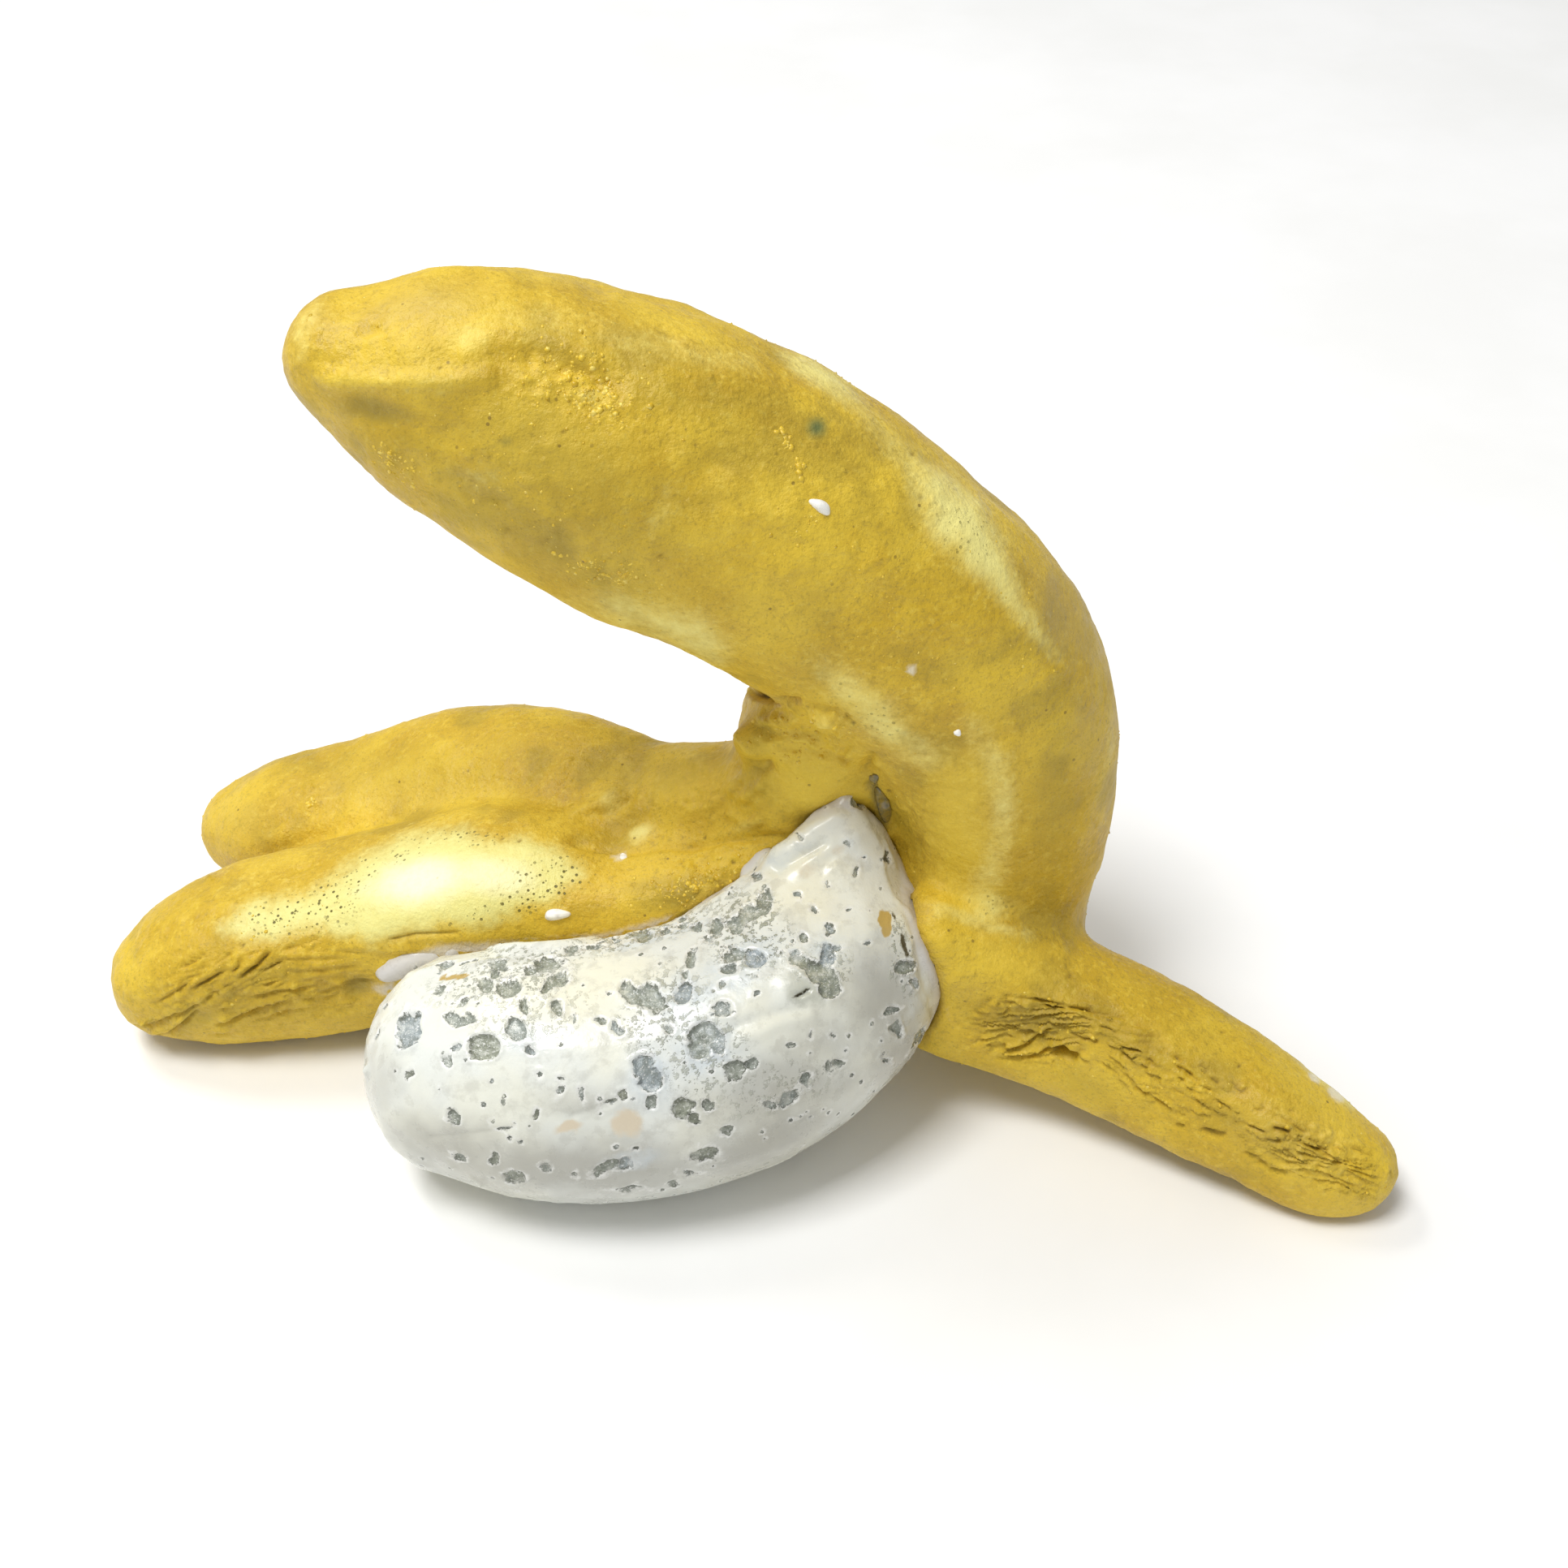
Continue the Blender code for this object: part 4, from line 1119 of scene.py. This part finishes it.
def pit_fields(skin):
    """For each pit, how deep inside it each point lies in mm, its tone and its depth."""
    for pit in PITS:
        least = min(pit.wide, pit.high) * PIXEL / MM
        yield (1 - skin.reach(pit)) * least, pit.amount, min(0.7, 0.2 + 0.3 * least)
    rng = np.random.default_rng(PIT_SEED)
    hidden = np.flatnonzero(skin.seen == 0)
    shown = np.flatnonzero(skin.seen > 0)
    rough = noise_at(skin.points, 2.0 * MM, 61, 2)
    for i in rng.choice(hidden, HIDDEN_PITS):
        least = rng.uniform(*HIDDEN_RADII)
        away = np.linalg.norm(skin.points - skin.points[i], axis=1) / MM
        yield least - away * (1 + 0.35 * rough), rng.random() * 0.6, 0.2 + 0.15 * least
    for i in np.concatenate((rng.choice(hidden, TINY_PITS), rng.choice(shown, TINY_PITS // 2))):
        least = rng.uniform(*TINY_RADII)
        away = np.linalg.norm(skin.points - skin.points[i], axis=1) / MM
        yield least - away, rng.random() * 0.6, 0.15


def sink_pits(skin):
    """Pits where the pale glaze drew back from grey glass, each with a slight rim."""
    depth = np.full(len(skin.points), -9.0)
    tone = np.zeros(len(skin.points))
    sunk = np.zeros(len(skin.points))
    rim = np.zeros(len(skin.points))
    for inside, tint, deep in pit_fields(skin):
        tone = np.where(inside > depth, tint, tone)
        depth = np.maximum(depth, inside)
        sunk = np.maximum(sunk, deep * soft(inside, -0.04, 0.2))
        rim = np.maximum(rim, 0.3 * deep * np.exp(-(((inside + 0.24) / 0.16) ** 2)))
    blisters = noise_at(skin.points, 0.8 * MM, 63, 2) * soft(depth, 0.0, 0.3)
    skin.lift(-sunk + rim * (sunk < 0.02) + 0.18 * blisters)
    skin.paint("pit", depth)
    skin.paint("tone", tone)


def paint_flesh(skin):
    """The flesh's colours, each as a share from 0 to 1 kept on its points."""
    ragged = 0.15 * noise_at(skin.points, RAGGED, 71, 2)
    paint_ovals(skin, FLESH_PAINTS, ragged)
    for name, amount, size, seed, start, end in HIDDEN_FLESH_PAINTS:
        cloud = soft(noise_at(skin.points, size * MM, seed), start, end)
        skin.paint(name, amount * skin.hidden * cloud)
    off = skin.off_line(SLIT)[0]
    skin.paint("dark_crevice", np.exp(-((off / 0.8) ** 2)) * skin.seen)


def make_flesh(tree, peel):
    """The flesh's skin, which is closed against the finished peel."""
    obj = make_flesh_mesh(tree)
    skin = Skin(obj, tree_of((obj, peel)))
    shape_lumps(skin, tree, LUMPS)
    relief_by_hand(skin, 21, FLESH_RELIEF)
    press_spots(skin, (BLOB,), 1)
    press_strokes(skin, FLESH_RIDGES, 1)
    press_strokes(skin, FLESH_GROOVES + (SLIT,), -1)
    close_seat(skin, tree_of((peel,)))
    skin.warp(COARSE_SHIFT, FINE_SHIFT)
    sink_pits(skin)
    paint_flesh(skin)
    skin.finish()
    return obj


def grain_places(peel, rng):
    """Where the crystals sit on the peel: the place, the way up and the size of each."""
    tree = tree_of((peel,))
    for swarm in GRAIN_SWARMS:
        spot = swarm.spot
        for _ in range(swarm.count):
            along, across = rng.normal(0, 0.5, 2) * (spot.wide, spot.high)
            size = rng.uniform(swarm.smallest, swarm.largest) * rng.uniform(0.5, 1.0) * MM
            place, normal = seen_at(tree, *from_middle(spot, along, across))
            if place is not None:
                yield place, normal, size
    points = numbers(peel.data.vertices, "co")
    normals = numbers(peel.data.vertex_normals, "vector")
    bare = seen_from_eye(points, normals, tree) == 0
    patchy = noise_at(points, 22 * MM, 81) > 0.08
    for i in rng.choice(np.flatnonzero(bare & patchy & (points[:, 2] > 2 * MM)), HIDDEN_GRAINS):
        yield Vector(points[i]), Vector(normals[i]), rng.uniform(*HIDDEN_SIZES) * MM


def scatter_grains(peel):
    """Crystals of glaze as one piece: small uneven lumps, sunk by half into the peel."""
    rng = np.random.default_rng(GRAIN_SEED)
    ball_points, ball_faces = unit_ball(1)
    points = []
    faces = []
    for place, normal, size in grain_places(peel, rng):
        stand = np.array(normal.to_track_quat("Z", "Y").to_matrix())
        spin = np.array(Matrix.Rotation(rng.random() * math.tau, 3, "Z"))
        squeeze = size * np.array((*rng.uniform(0.7, 1.2, 2), rng.uniform(0.45, 0.8)))
        uneven = ball_points * rng.uniform(0.65, 1.25, (len(ball_points), 1)) * squeeze
        moved = uneven @ (stand @ spin).T + np.array(place - normal * size * GRAIN_SINK)
        faces += (ball_faces + len(points)).tolist()
        points += within_box(moved).tolist()
    obj = object_of("glaze_crystals", points, faces)
    obj.data.shade_smooth()
    return obj


def dome_points(tree, drop):
    """A drop's points: its top, its rings from the top down and a point under its base."""
    middle, up = seen_at(tree, drop.x, drop.y)
    yield middle + up * drop.amount * MM
    sides = np.arange(DROP_SIDES) * math.tau / DROP_SIDES
    for ring in range(1, DROP_RINGS + 1):
        share = ring / DROP_RINGS
        rise = drop.amount * math.sqrt(1 - share**2) - DROP_SINK * share**8
        for side in sides:
            reach = share * (1 + DROP_WAVE * math.sin(3 * side + drop.x))
            along = math.cos(side) * reach * drop.wide
            across = math.sin(side) * reach * drop.high
            place = seen_at(tree, *from_middle(drop, along, across))[0] or middle
            yield place + up * rise * MM
    yield middle - up * DROP_ROOT * MM


def dome_faces(top):
    """The faces of a drop whose points start at top: its cap, its rings and its base."""
    bottom = top + 1 + DROP_RINGS * DROP_SIDES
    edge = bottom - DROP_SIDES
    for i in range(DROP_SIDES):
        after = (i + 1) % DROP_SIDES
        yield top, top + 1 + after, top + 1 + i
        for inner in range(top + 1, edge, DROP_SIDES):
            outer = inner + DROP_SIDES
            yield inner + i, inner + after, outer + after, outer + i
        yield bottom, edge + i, edge + after


def make_drops(name, drops, peel):
    """Drops of glaze as one piece: domes with the outlines that the photo shows."""
    tree = tree_of((peel,))
    points = []
    faces = []
    for drop in drops:
        faces += dome_faces(len(points))
        points += dome_points(tree, drop)
    obj = object_of(name, points, faces)
    obj.data.shade_smooth()
    return obj


def colour(red, green, blue):
    """A colour as a screen shows it, from 0 to 255, turned to the light it stands for."""
    shares = (value / 255 for value in (red, green, blue))
    return tuple(v / 12.92 if v <= 0.04045 else ((v + 0.055) / 1.055) ** 2.4 for v in shares) + (1.0,)


# The colours of the yellow glaze and of what is on it
MUSTARD = colour(206, 170, 40)
BRIGHT = colour(234, 201, 62)
PAINTED_LIGHT_YELLOW = colour(240, 208, 70)
AMBER = colour(190, 150, 32)
OLIVE = colour(152, 130, 46)
TAN = colour(192, 168, 98)
PALE = colour(250, 238, 146)
CREAM = colour(234, 227, 142)
CREAM_WHITE_HIGHLIGHT = colour(248, 247, 212)
FILM = colour(220, 212, 196)
CRACK_AND_SHADE_BROWN = colour(124, 98, 38)
PORE = colour(112, 104, 44)
TEAL = colour(74, 102, 66)
DROP_WHITE = colour(250, 249, 242)
GLASS = colour(150, 130, 60)
DROP_GLASS = colour(112, 104, 66)
# The colours of the pale glaze and of what is on it
FLESH_WHITE = colour(232, 235, 228)
FLESH_CREAM = colour(243, 241, 218)
FLESH_SHADE = colour(168, 166, 155)
FLESH_MILKY = colour(212, 222, 228)
PIT_GREEN = colour(154, 158, 138)
PIT_BLUE = colour(162, 174, 182)
PIT_DARK = colour(108, 112, 98)
LIP_VIOLET = colour(196, 188, 186)
PEACH = colour(220, 207, 182)
BARE = colour(196, 168, 98)
CREVICE_DARK = colour(84, 76, 48)
BLOB_GREY = colour(190, 192, 178)
RIM_WHITE = colour(248, 248, 244)
# The floor's colours
FLOOR_GREY = colour(246, 246, 244)
FLOOR_WHITE = colour(250, 250, 249)


class Finish:
    """A material, with short ways to add nodes to it and to join them."""

    def __init__(self, name):
        self.material = bpy.data.materials.new(name)
        self.material.use_nodes = True
        self.tree = self.material.node_tree
        self.shader = self.tree.nodes["Principled BSDF"]
        self.places = self.add("TexCoord", {}).outputs["Object"]
        self.base = (1.0, 1.0, 1.0, 1.0)

    def add(self, kind, sockets):
        """A new node of a kind, with what goes into its sockets."""
        node = self.tree.nodes.new("ShaderNode" + kind)
        for name, value in sockets.items():
            self.put(node.inputs[name], value)
        return node

    def put(self, socket, value):
        """Joins another node's socket to this one, or sets it to a plain value."""
        if isinstance(value, bpy.types.NodeSocket):
            self.tree.links.new(value, socket)
        else:
            socket.default_value = value

    def kept(self, name):
        """What the skin keeps under this name."""
        node = self.add("Attribute", {})
        node.attribute_name = name
        return node.outputs["Fac"]

    def noise(self, size, detail, roughness, shift=0.0):
        """Noise from 0 to 1 with bumps about size across, in mm."""
        move = self.add("VectorMath", {0: self.places, 1: (shift, shift, shift)})
        move.operation = "ADD"
        sockets = {"Scale": 1 / (size * MM), "Detail": detail, "Roughness": roughness}
        return self.add("TexNoise", {"Vector": move.outputs[0], **sockets}).outputs["Fac"]

    def cells(self, size):
        """Distance from the nearest of scattered dots, in cells of this size in mm."""
        node = self.add("TexVoronoi", {"Vector": self.places, "Scale": 1 / (size * MM)})
        return node.outputs["Distance"]

    def maths(self, operation, one, two, clamp=False):
        node = self.add("Math", {0: one, 1: two})
        node.operation = operation
        node.use_clamp = clamp
        return node.outputs[0]

    def times(self, one, two):
        return self.maths("MULTIPLY", one, two)

    def ramp(self, value, start, end, low=0.0, high=1.0):
        """From low where the value is start or less to high where it is end or more."""
        sockets = {"Value": value, "From Min": start, "From Max": end, "To Min": low, "To Max": high}
        node = self.add("MapRange", sockets)
        node.interpolation_type = "SMOOTHSTEP"
        return node.outputs["Result"]

    def blend(self, share, one, two):
        """One colour where the share is 0 and the other where it is 1."""
        node = self.add("Mix", {0: share, 6: one, 7: two})
        node.data_type = "RGBA"
        return node.outputs[2]

    def cover(self, share, tint):
        """Lays a colour over the base so far."""
        self.base = self.blend(share, self.base, tint)

    def cover_kept(self, name, strength, tint):
        """Lays a colour over the base as strongly as the skin keeps under a name."""
        self.cover(self.times(self.kept(name), strength), tint)

    def broken(self, share, breaker, width, start, end):
        """A share whose soft edge is broken up by noise."""
        rough = self.times(self.maths("SUBTRACT", breaker, 0.5), width)
        return self.ramp(self.maths("ADD", share, rough), start, end)

    def bump(self, height, distance, strength, normal=None):
        """Bumps up to this distance in mm, on top of those of a normal if there is one."""
        node = self.add("Bump", {"Strength": strength, "Distance": distance * MM, "Height": height})
        if normal is not None:
            self.put(node.inputs["Normal"], normal)
        return node.outputs["Normal"]

    def done(self, sockets):
        """The material, with the base and these in its shader's sockets."""
        for name, value in {"Base Color": self.base, **sockets}.items():
            self.put(self.shader.inputs[name], value)
        return self.material


def yellow_finish():
    """Thick yellow glaze: clouded, worn pale on its ridges, and brown in its cracks and pores, with
    painted light on some faces and painted shade on others and in its recesses.
    """
    look = Finish("yellow_glaze_finish")
    broad = look.noise(16, 3, 0.55)
    cloud = look.noise(5, 4, 0.6, 0.31)
    speck = look.noise(0.9, 3, 0.6, 0.57)
    fine = look.noise(0.35, 2, 0.5, 0.83)
    cracks_and_shade = look.kept("cracks_and_shade")
    rise = look.kept("rise")

    look.base = look.blend(look.ramp(broad, 0.36, 0.64, 0, 0.7), MUSTARD, BRIGHT)
    look.cover(look.ramp(cloud, 0.5, 0.72, 0, 0.35), AMBER)
    look.cover(look.ramp(speck, 0.52, 0.68, 0, 0.45), BRIGHT)
    look.cover(look.ramp(speck, 0.46, 0.3, 0, 0.3), OLIVE)
    look.cover(look.ramp(fine, 0.55, 0.7, 0, 0.35), OLIVE)
    look.cover_kept("knobs", 0.5, BRIGHT)
    look.cover(look.ramp(rise, -0.05, -0.45, 0, 0.4), OLIVE)
    look.cover(look.ramp(rise, 0.1, 0.5, 0, 0.3), BRIGHT)
    # Painted light in a lighter yellow, and olive and tan glaze that carry painted shade too
    for name, strength, tint in (("olive_and_shade", 0.75, OLIVE), ("painted_light", 0.75, PAINTED_LIGHT_YELLOW), ("tan_and_shade", 0.6, TAN)):
        cloudy = look.broken(look.kept(name), speck, 0.4, 0.0, 1.1)
        look.cover(look.times(cloudy, strength), tint)
    look.cover(look.broken(look.kept("pale"), speck, 0.5, 0.02, 1.15), PALE)
    creamy = look.broken(look.kept("cream"), speck, 0.7, 0.0, 1.15)
    look.cover(creamy, CREAM)
    # The whitest part of the cream patch, with a painted highlight
    look.cover(look.times(look.kept("whitest_and_highlight"), creamy), CREAM_WHITE_HIGHLIGHT)
    some = look.ramp(look.noise(4, 2, 0.5, 0.2), 0.34, 0.46)
    dots = look.times(look.ramp(look.cells(0.95), 0.16, 0.25, 1, 0), some)
    tiny = look.ramp(look.cells(0.7), 0.12, 0.2, 1, 0)
    dots = look.maths("MAXIMUM", dots, look.times(tiny, 0.7))
    pores = look.times(dots, look.kept("pores"))
    look.cover(pores, PORE)
    stray = look.times(look.ramp(look.cells(3.4), 0.045, 0.08, 1, 0), look.ramp(broad, 0.45, 0.6))
    look.cover(look.times(stray, 0.7), CRACK_AND_SHADE_BROWN)
    # Brown in the cracks and pinholes, with painted shade in the recesses of torn layers, wrinkles and
    # creases
    look.cover(look.ramp(cracks_and_shade, 0.1, 0.95, 0, 0.9), CRACK_AND_SHADE_BROWN)
    look.cover_kept("teal", 0.85, TEAL)
    look.cover(look.kept("glass"), GLASS)
    filmed = look.broken(look.kept("film"), speck, 0.6, 0.2, 0.9)
    look.cover(look.times(filmed, 0.85), FILM)
    look.cover(look.kept("white"), DROP_WHITE)

    gloss = look.ramp(cloud, 0.3, 0.7, 0.58, 0.42)
    gloss = look.maths("SUBTRACT", gloss, look.times(look.kept("glass"), 0.36))
    gloss = look.maths("SUBTRACT", gloss, look.times(look.kept("white"), 0.2))
    gloss = look.maths("ADD", gloss, look.times(cracks_and_shade, 0.3), True)

    layered = look.bump(look.noise(2.2, 4, 0.6, 0.11), 0.5, 0.6)
    pimples = look.times(look.ramp(look.cells(1.5), 0.0, 0.42, 1, 0), look.ramp(cloud, 0.42, 0.6))
    layered = look.bump(pimples, 0.12, 0.8, layered)
    grained = look.bump(look.noise(0.6, 3, 0.65, 0.47), 0.2, 0.85, layered)
    pitted = look.bump(look.times(pores, -1.0), 0.15, 0.8, grained)
    return look.done({"Roughness": gloss, "Normal": pitted, "Specular IOR Level": 0.4})


def white_finish():
    """Pale glaze that drew back from pits of grey glass, with a soft coat over it. Painted shade darkens
    it low down and at its right end, a painted shadow rings the inside of each pit's edge, and painted
    glints fleck the white specks in the pits.
    """
    look = Finish("white_glaze_finish")
    broad = look.noise(12, 3, 0.5)
    cloud = look.noise(2.6, 4, 0.6, 0.37)
    speck = look.noise(0.7, 3, 0.65, 0.61)
    fine = look.noise(0.3, 2, 0.5, 0.29)
    coarse = look.noise(1.3, 3, 0.6, 0.43)
    ragged = look.maths("ADD", look.kept("pit"), look.times(look.maths("SUBTRACT", speck, 0.5), 0.9))
    inside = look.ramp(ragged, -0.07, 0.12)
    edge = look.ramp(ragged, -0.5, -0.08)

    look.base = look.blend(look.ramp(broad, 0.4, 0.65, 0, 0.5), FLESH_WHITE, FLESH_CREAM)
    look.cover_kept("cream", 0.8, FLESH_CREAM)
    look.cover(look.ramp(cloud, 0.48, 0.7, 0, 0.3), FLESH_SHADE)
    # Painted shade, low on the flesh and at its right end
    look.cover_kept("shade", 0.8, FLESH_SHADE)
    look.cover(look.broken(look.kept("peach"), speck, 0.5, 0.2, 0.9), PEACH)
    look.cover_kept("lip", 0.6, LIP_VIOLET)
    look.cover(look.broken(look.kept("blob"), cloud, 0.3, 0.2, 0.8), BLOB_GREY)
    look.cover(look.times(look.kept("milky"), look.ramp(cloud, 0.3, 0.6, 0.3, 0.9)), FLESH_MILKY)
    crawled = look.times(look.kept("mottle"), look.ramp(look.noise(0.9, 3, 0.7, 0.27), 0.52, 0.6))
    look.cover(look.times(crawled, 0.85), PIT_GREEN)
    look.cover(look.times(edge, look.ramp(coarse, 0.4, 0.6, 0.1, 0.6)), RIM_WHITE)
    glass = look.blend(look.kept("tone"), PIT_GREEN, PIT_BLUE)
    for cloudy, start, end, strength, tint in (
        (coarse, 0.46, 0.66, 0.5, PIT_DARK),
        (speck, 0.54, 0.68, 0.5, PIT_DARK),
        # White specks of glaze in the pits, partly painted glints
        (fine, 0.56, 0.68, 0.6, RIM_WHITE),
    ):
        glass = look.blend(look.ramp(cloudy, start, end, 0, strength), glass, tint)
    look.cover(look.times(inside, look.ramp(coarse, 0.3, 0.52, 0.4, 0.97)), glass)
    # Painted shadow: a dark ring just inside each pit's edge
    outline = look.times(look.ramp(ragged, -0.05, 0.03), look.ramp(ragged, 0.06, 0.2, 1, 0))
    look.cover(look.times(outline, look.ramp(coarse, 0.4, 0.6, 0.0, 0.75)), PIT_DARK)
    look.cover(look.broken(look.kept("bare"), speck, 0.9, 0.25, 0.9), BARE)
    look.cover(look.broken(look.kept("dark_crevice"), speck, 0.5, 0.3, 0.8), CREVICE_DARK)

    glassy = look.maths("MAXIMUM", inside, crawled)
    gloss = look.ramp(cloud, 0.3, 0.7, 0.36, 0.24)
    gloss = look.maths("SUBTRACT", gloss, look.times(glassy, 0.12))

    waxy = look.bump(look.noise(1.8, 3, 0.5, 0.19), 0.2, 0.4)
    grained = look.bump(look.noise(0.5, 3, 0.6, 0.73), 0.06, 0.5, waxy)
    blistered = look.bump(look.times(look.noise(0.6, 3, 0.7, 0.91), glassy), 0.35, 0.8, grained)
    coat = {"Specular IOR Level": 0.45, "Coat Weight": 0.25, "Coat Roughness": 0.14}
    return look.done({"Roughness": gloss, "Normal": blistered, **coat})


def crystal_finish():
    look = Finish("crystal_finish")
    tone = look.noise(1.4, 2, 0.5, 0.4)
    look.base = look.blend(look.ramp(tone, 0.35, 0.65), MUSTARD, BRIGHT)
    look.cover(look.ramp(look.noise(0.7, 2, 0.5, 0.9), 0.5, 0.7, 0, 0.4), PALE)
    gloss = look.ramp(tone, 0.3, 0.7, 0.25, 0.45)
    grained = look.bump(look.noise(0.25, 2, 0.6, 0.6), 0.06, 0.6)
    return look.done({"Roughness": gloss, "Normal": grained})


def drop_finish():
    look = Finish("drop_finish")
    tone = look.noise(1.6, 2, 0.5, 0.3)
    look.base = look.blend(look.ramp(tone, 0.5, 0.8), DROP_WHITE, LIP_VIOLET)
    gloss = look.ramp(tone, 0.3, 0.7, 0.22, 0.32)
    waxy = look.bump(look.noise(0.8, 2, 0.5, 0.6), 0.05, 0.5)
    return look.done({"Roughness": gloss, "Normal": waxy})


def glass_finish():
    look = Finish("glass_finish")
    tone = look.noise(0.8, 3, 0.6, 0.7)
    look.base = look.blend(look.ramp(tone, 0.35, 0.65), DROP_GLASS, GLASS)
    gloss = look.ramp(tone, 0.3, 0.7, 0.08, 0.2)
    rippled = look.bump(look.noise(0.7, 2, 0.5, 0.1), 0.12, 0.7)
    coat = {"Coat Weight": 0.6, "Coat Roughness": 0.06}
    return look.done({"Roughness": gloss, "Normal": rippled, **coat})


def floor_finish():
    look = Finish("floor_finish")
    tone = look.noise(60, 4, 0.6)
    look.base = look.blend(look.ramp(tone, 0.3, 0.7), FLOOR_GREY, FLOOR_WHITE)
    matt = look.ramp(tone, 0.3, 0.7, 0.6, 0.75)
    return look.done({"Roughness": matt, "Specular IOR Level": 0.2})


def make_floor():
    corners = [(x * FLOOR_HALF, y * FLOOR_HALF, 0) for x, y in ((-1, -1), (1, -1), (1, 1), (-1, 1))]
    obj = object_of("floor", corners, ((0, 1, 2, 3),))
    obj.data.materials.append(floor_finish())


def make_camera():
    data = bpy.data.cameras.new("camera")
    data.sensor_width = SENSOR_WIDTH
    data.lens = FOCAL_LENGTH / PHOTO_SIDE * SENSOR_WIDTH
    data.clip_start = 0.01
    obj = add_object("camera", data)
    obj.location = EYE
    obj.rotation_euler = (TILT, 0, 0)
    bpy.context.scene.camera = obj


def make_lamp(name, place, size, power):
    data = bpy.data.lights.new(name, "AREA")
    data.size = size
    data.energy = power
    obj = add_object(name, data)
    obj.location = place
    obj.rotation_euler = (LAMP_AIM - Vector(place)).to_track_quat("-Z", "Y").to_euler()


def light_studio():
    world = bpy.data.worlds.new("studio")
    world.use_nodes = True
    backdrop = world.node_tree.nodes["Background"]
    backdrop.inputs["Color"].default_value = (1, 1, 1, 1)
    backdrop.inputs["Strength"].default_value = BACKDROP_LIGHT
    bpy.context.scene.world = world
    bpy.context.scene.view_settings.view_transform = "Standard"
    for lamp in LAMPS:
        make_lamp(*lamp)


def dress(obj, material, slot, *nodes):
    """Gives a piece its finish, puts it under the root body and hides the frame's nodes that it takes the
    place of. The slot is not used.
    """
    obj.data.materials.clear()
    obj.data.materials.append(material)
    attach(obj, "root")
    if nodes:
        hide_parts(*nodes)


def main():
    make_camera()
    light_studio()
    make_floor()
    solids = tree_of([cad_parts[name] for name in ("peel", "flesh")])
    peel = make_peel(solids)
    flesh = make_flesh(solids, peel)
    crystals = scatter_grains(peel)
    drops = make_drops("glaze_drops", DROPS, peel)
    glass = make_drops("glass_drops", GLASS_DROPS, peel)
    dress(peel, yellow_finish(), "yellow_glaze", "peel")
    dress(flesh, white_finish(), "white_glaze", "flesh")
    dress(crystals, crystal_finish(), "yellow_glaze")
    dress(drops, drop_finish(), "white_glaze")
    dress(glass, glass_finish(), "yellow_glaze")


main()
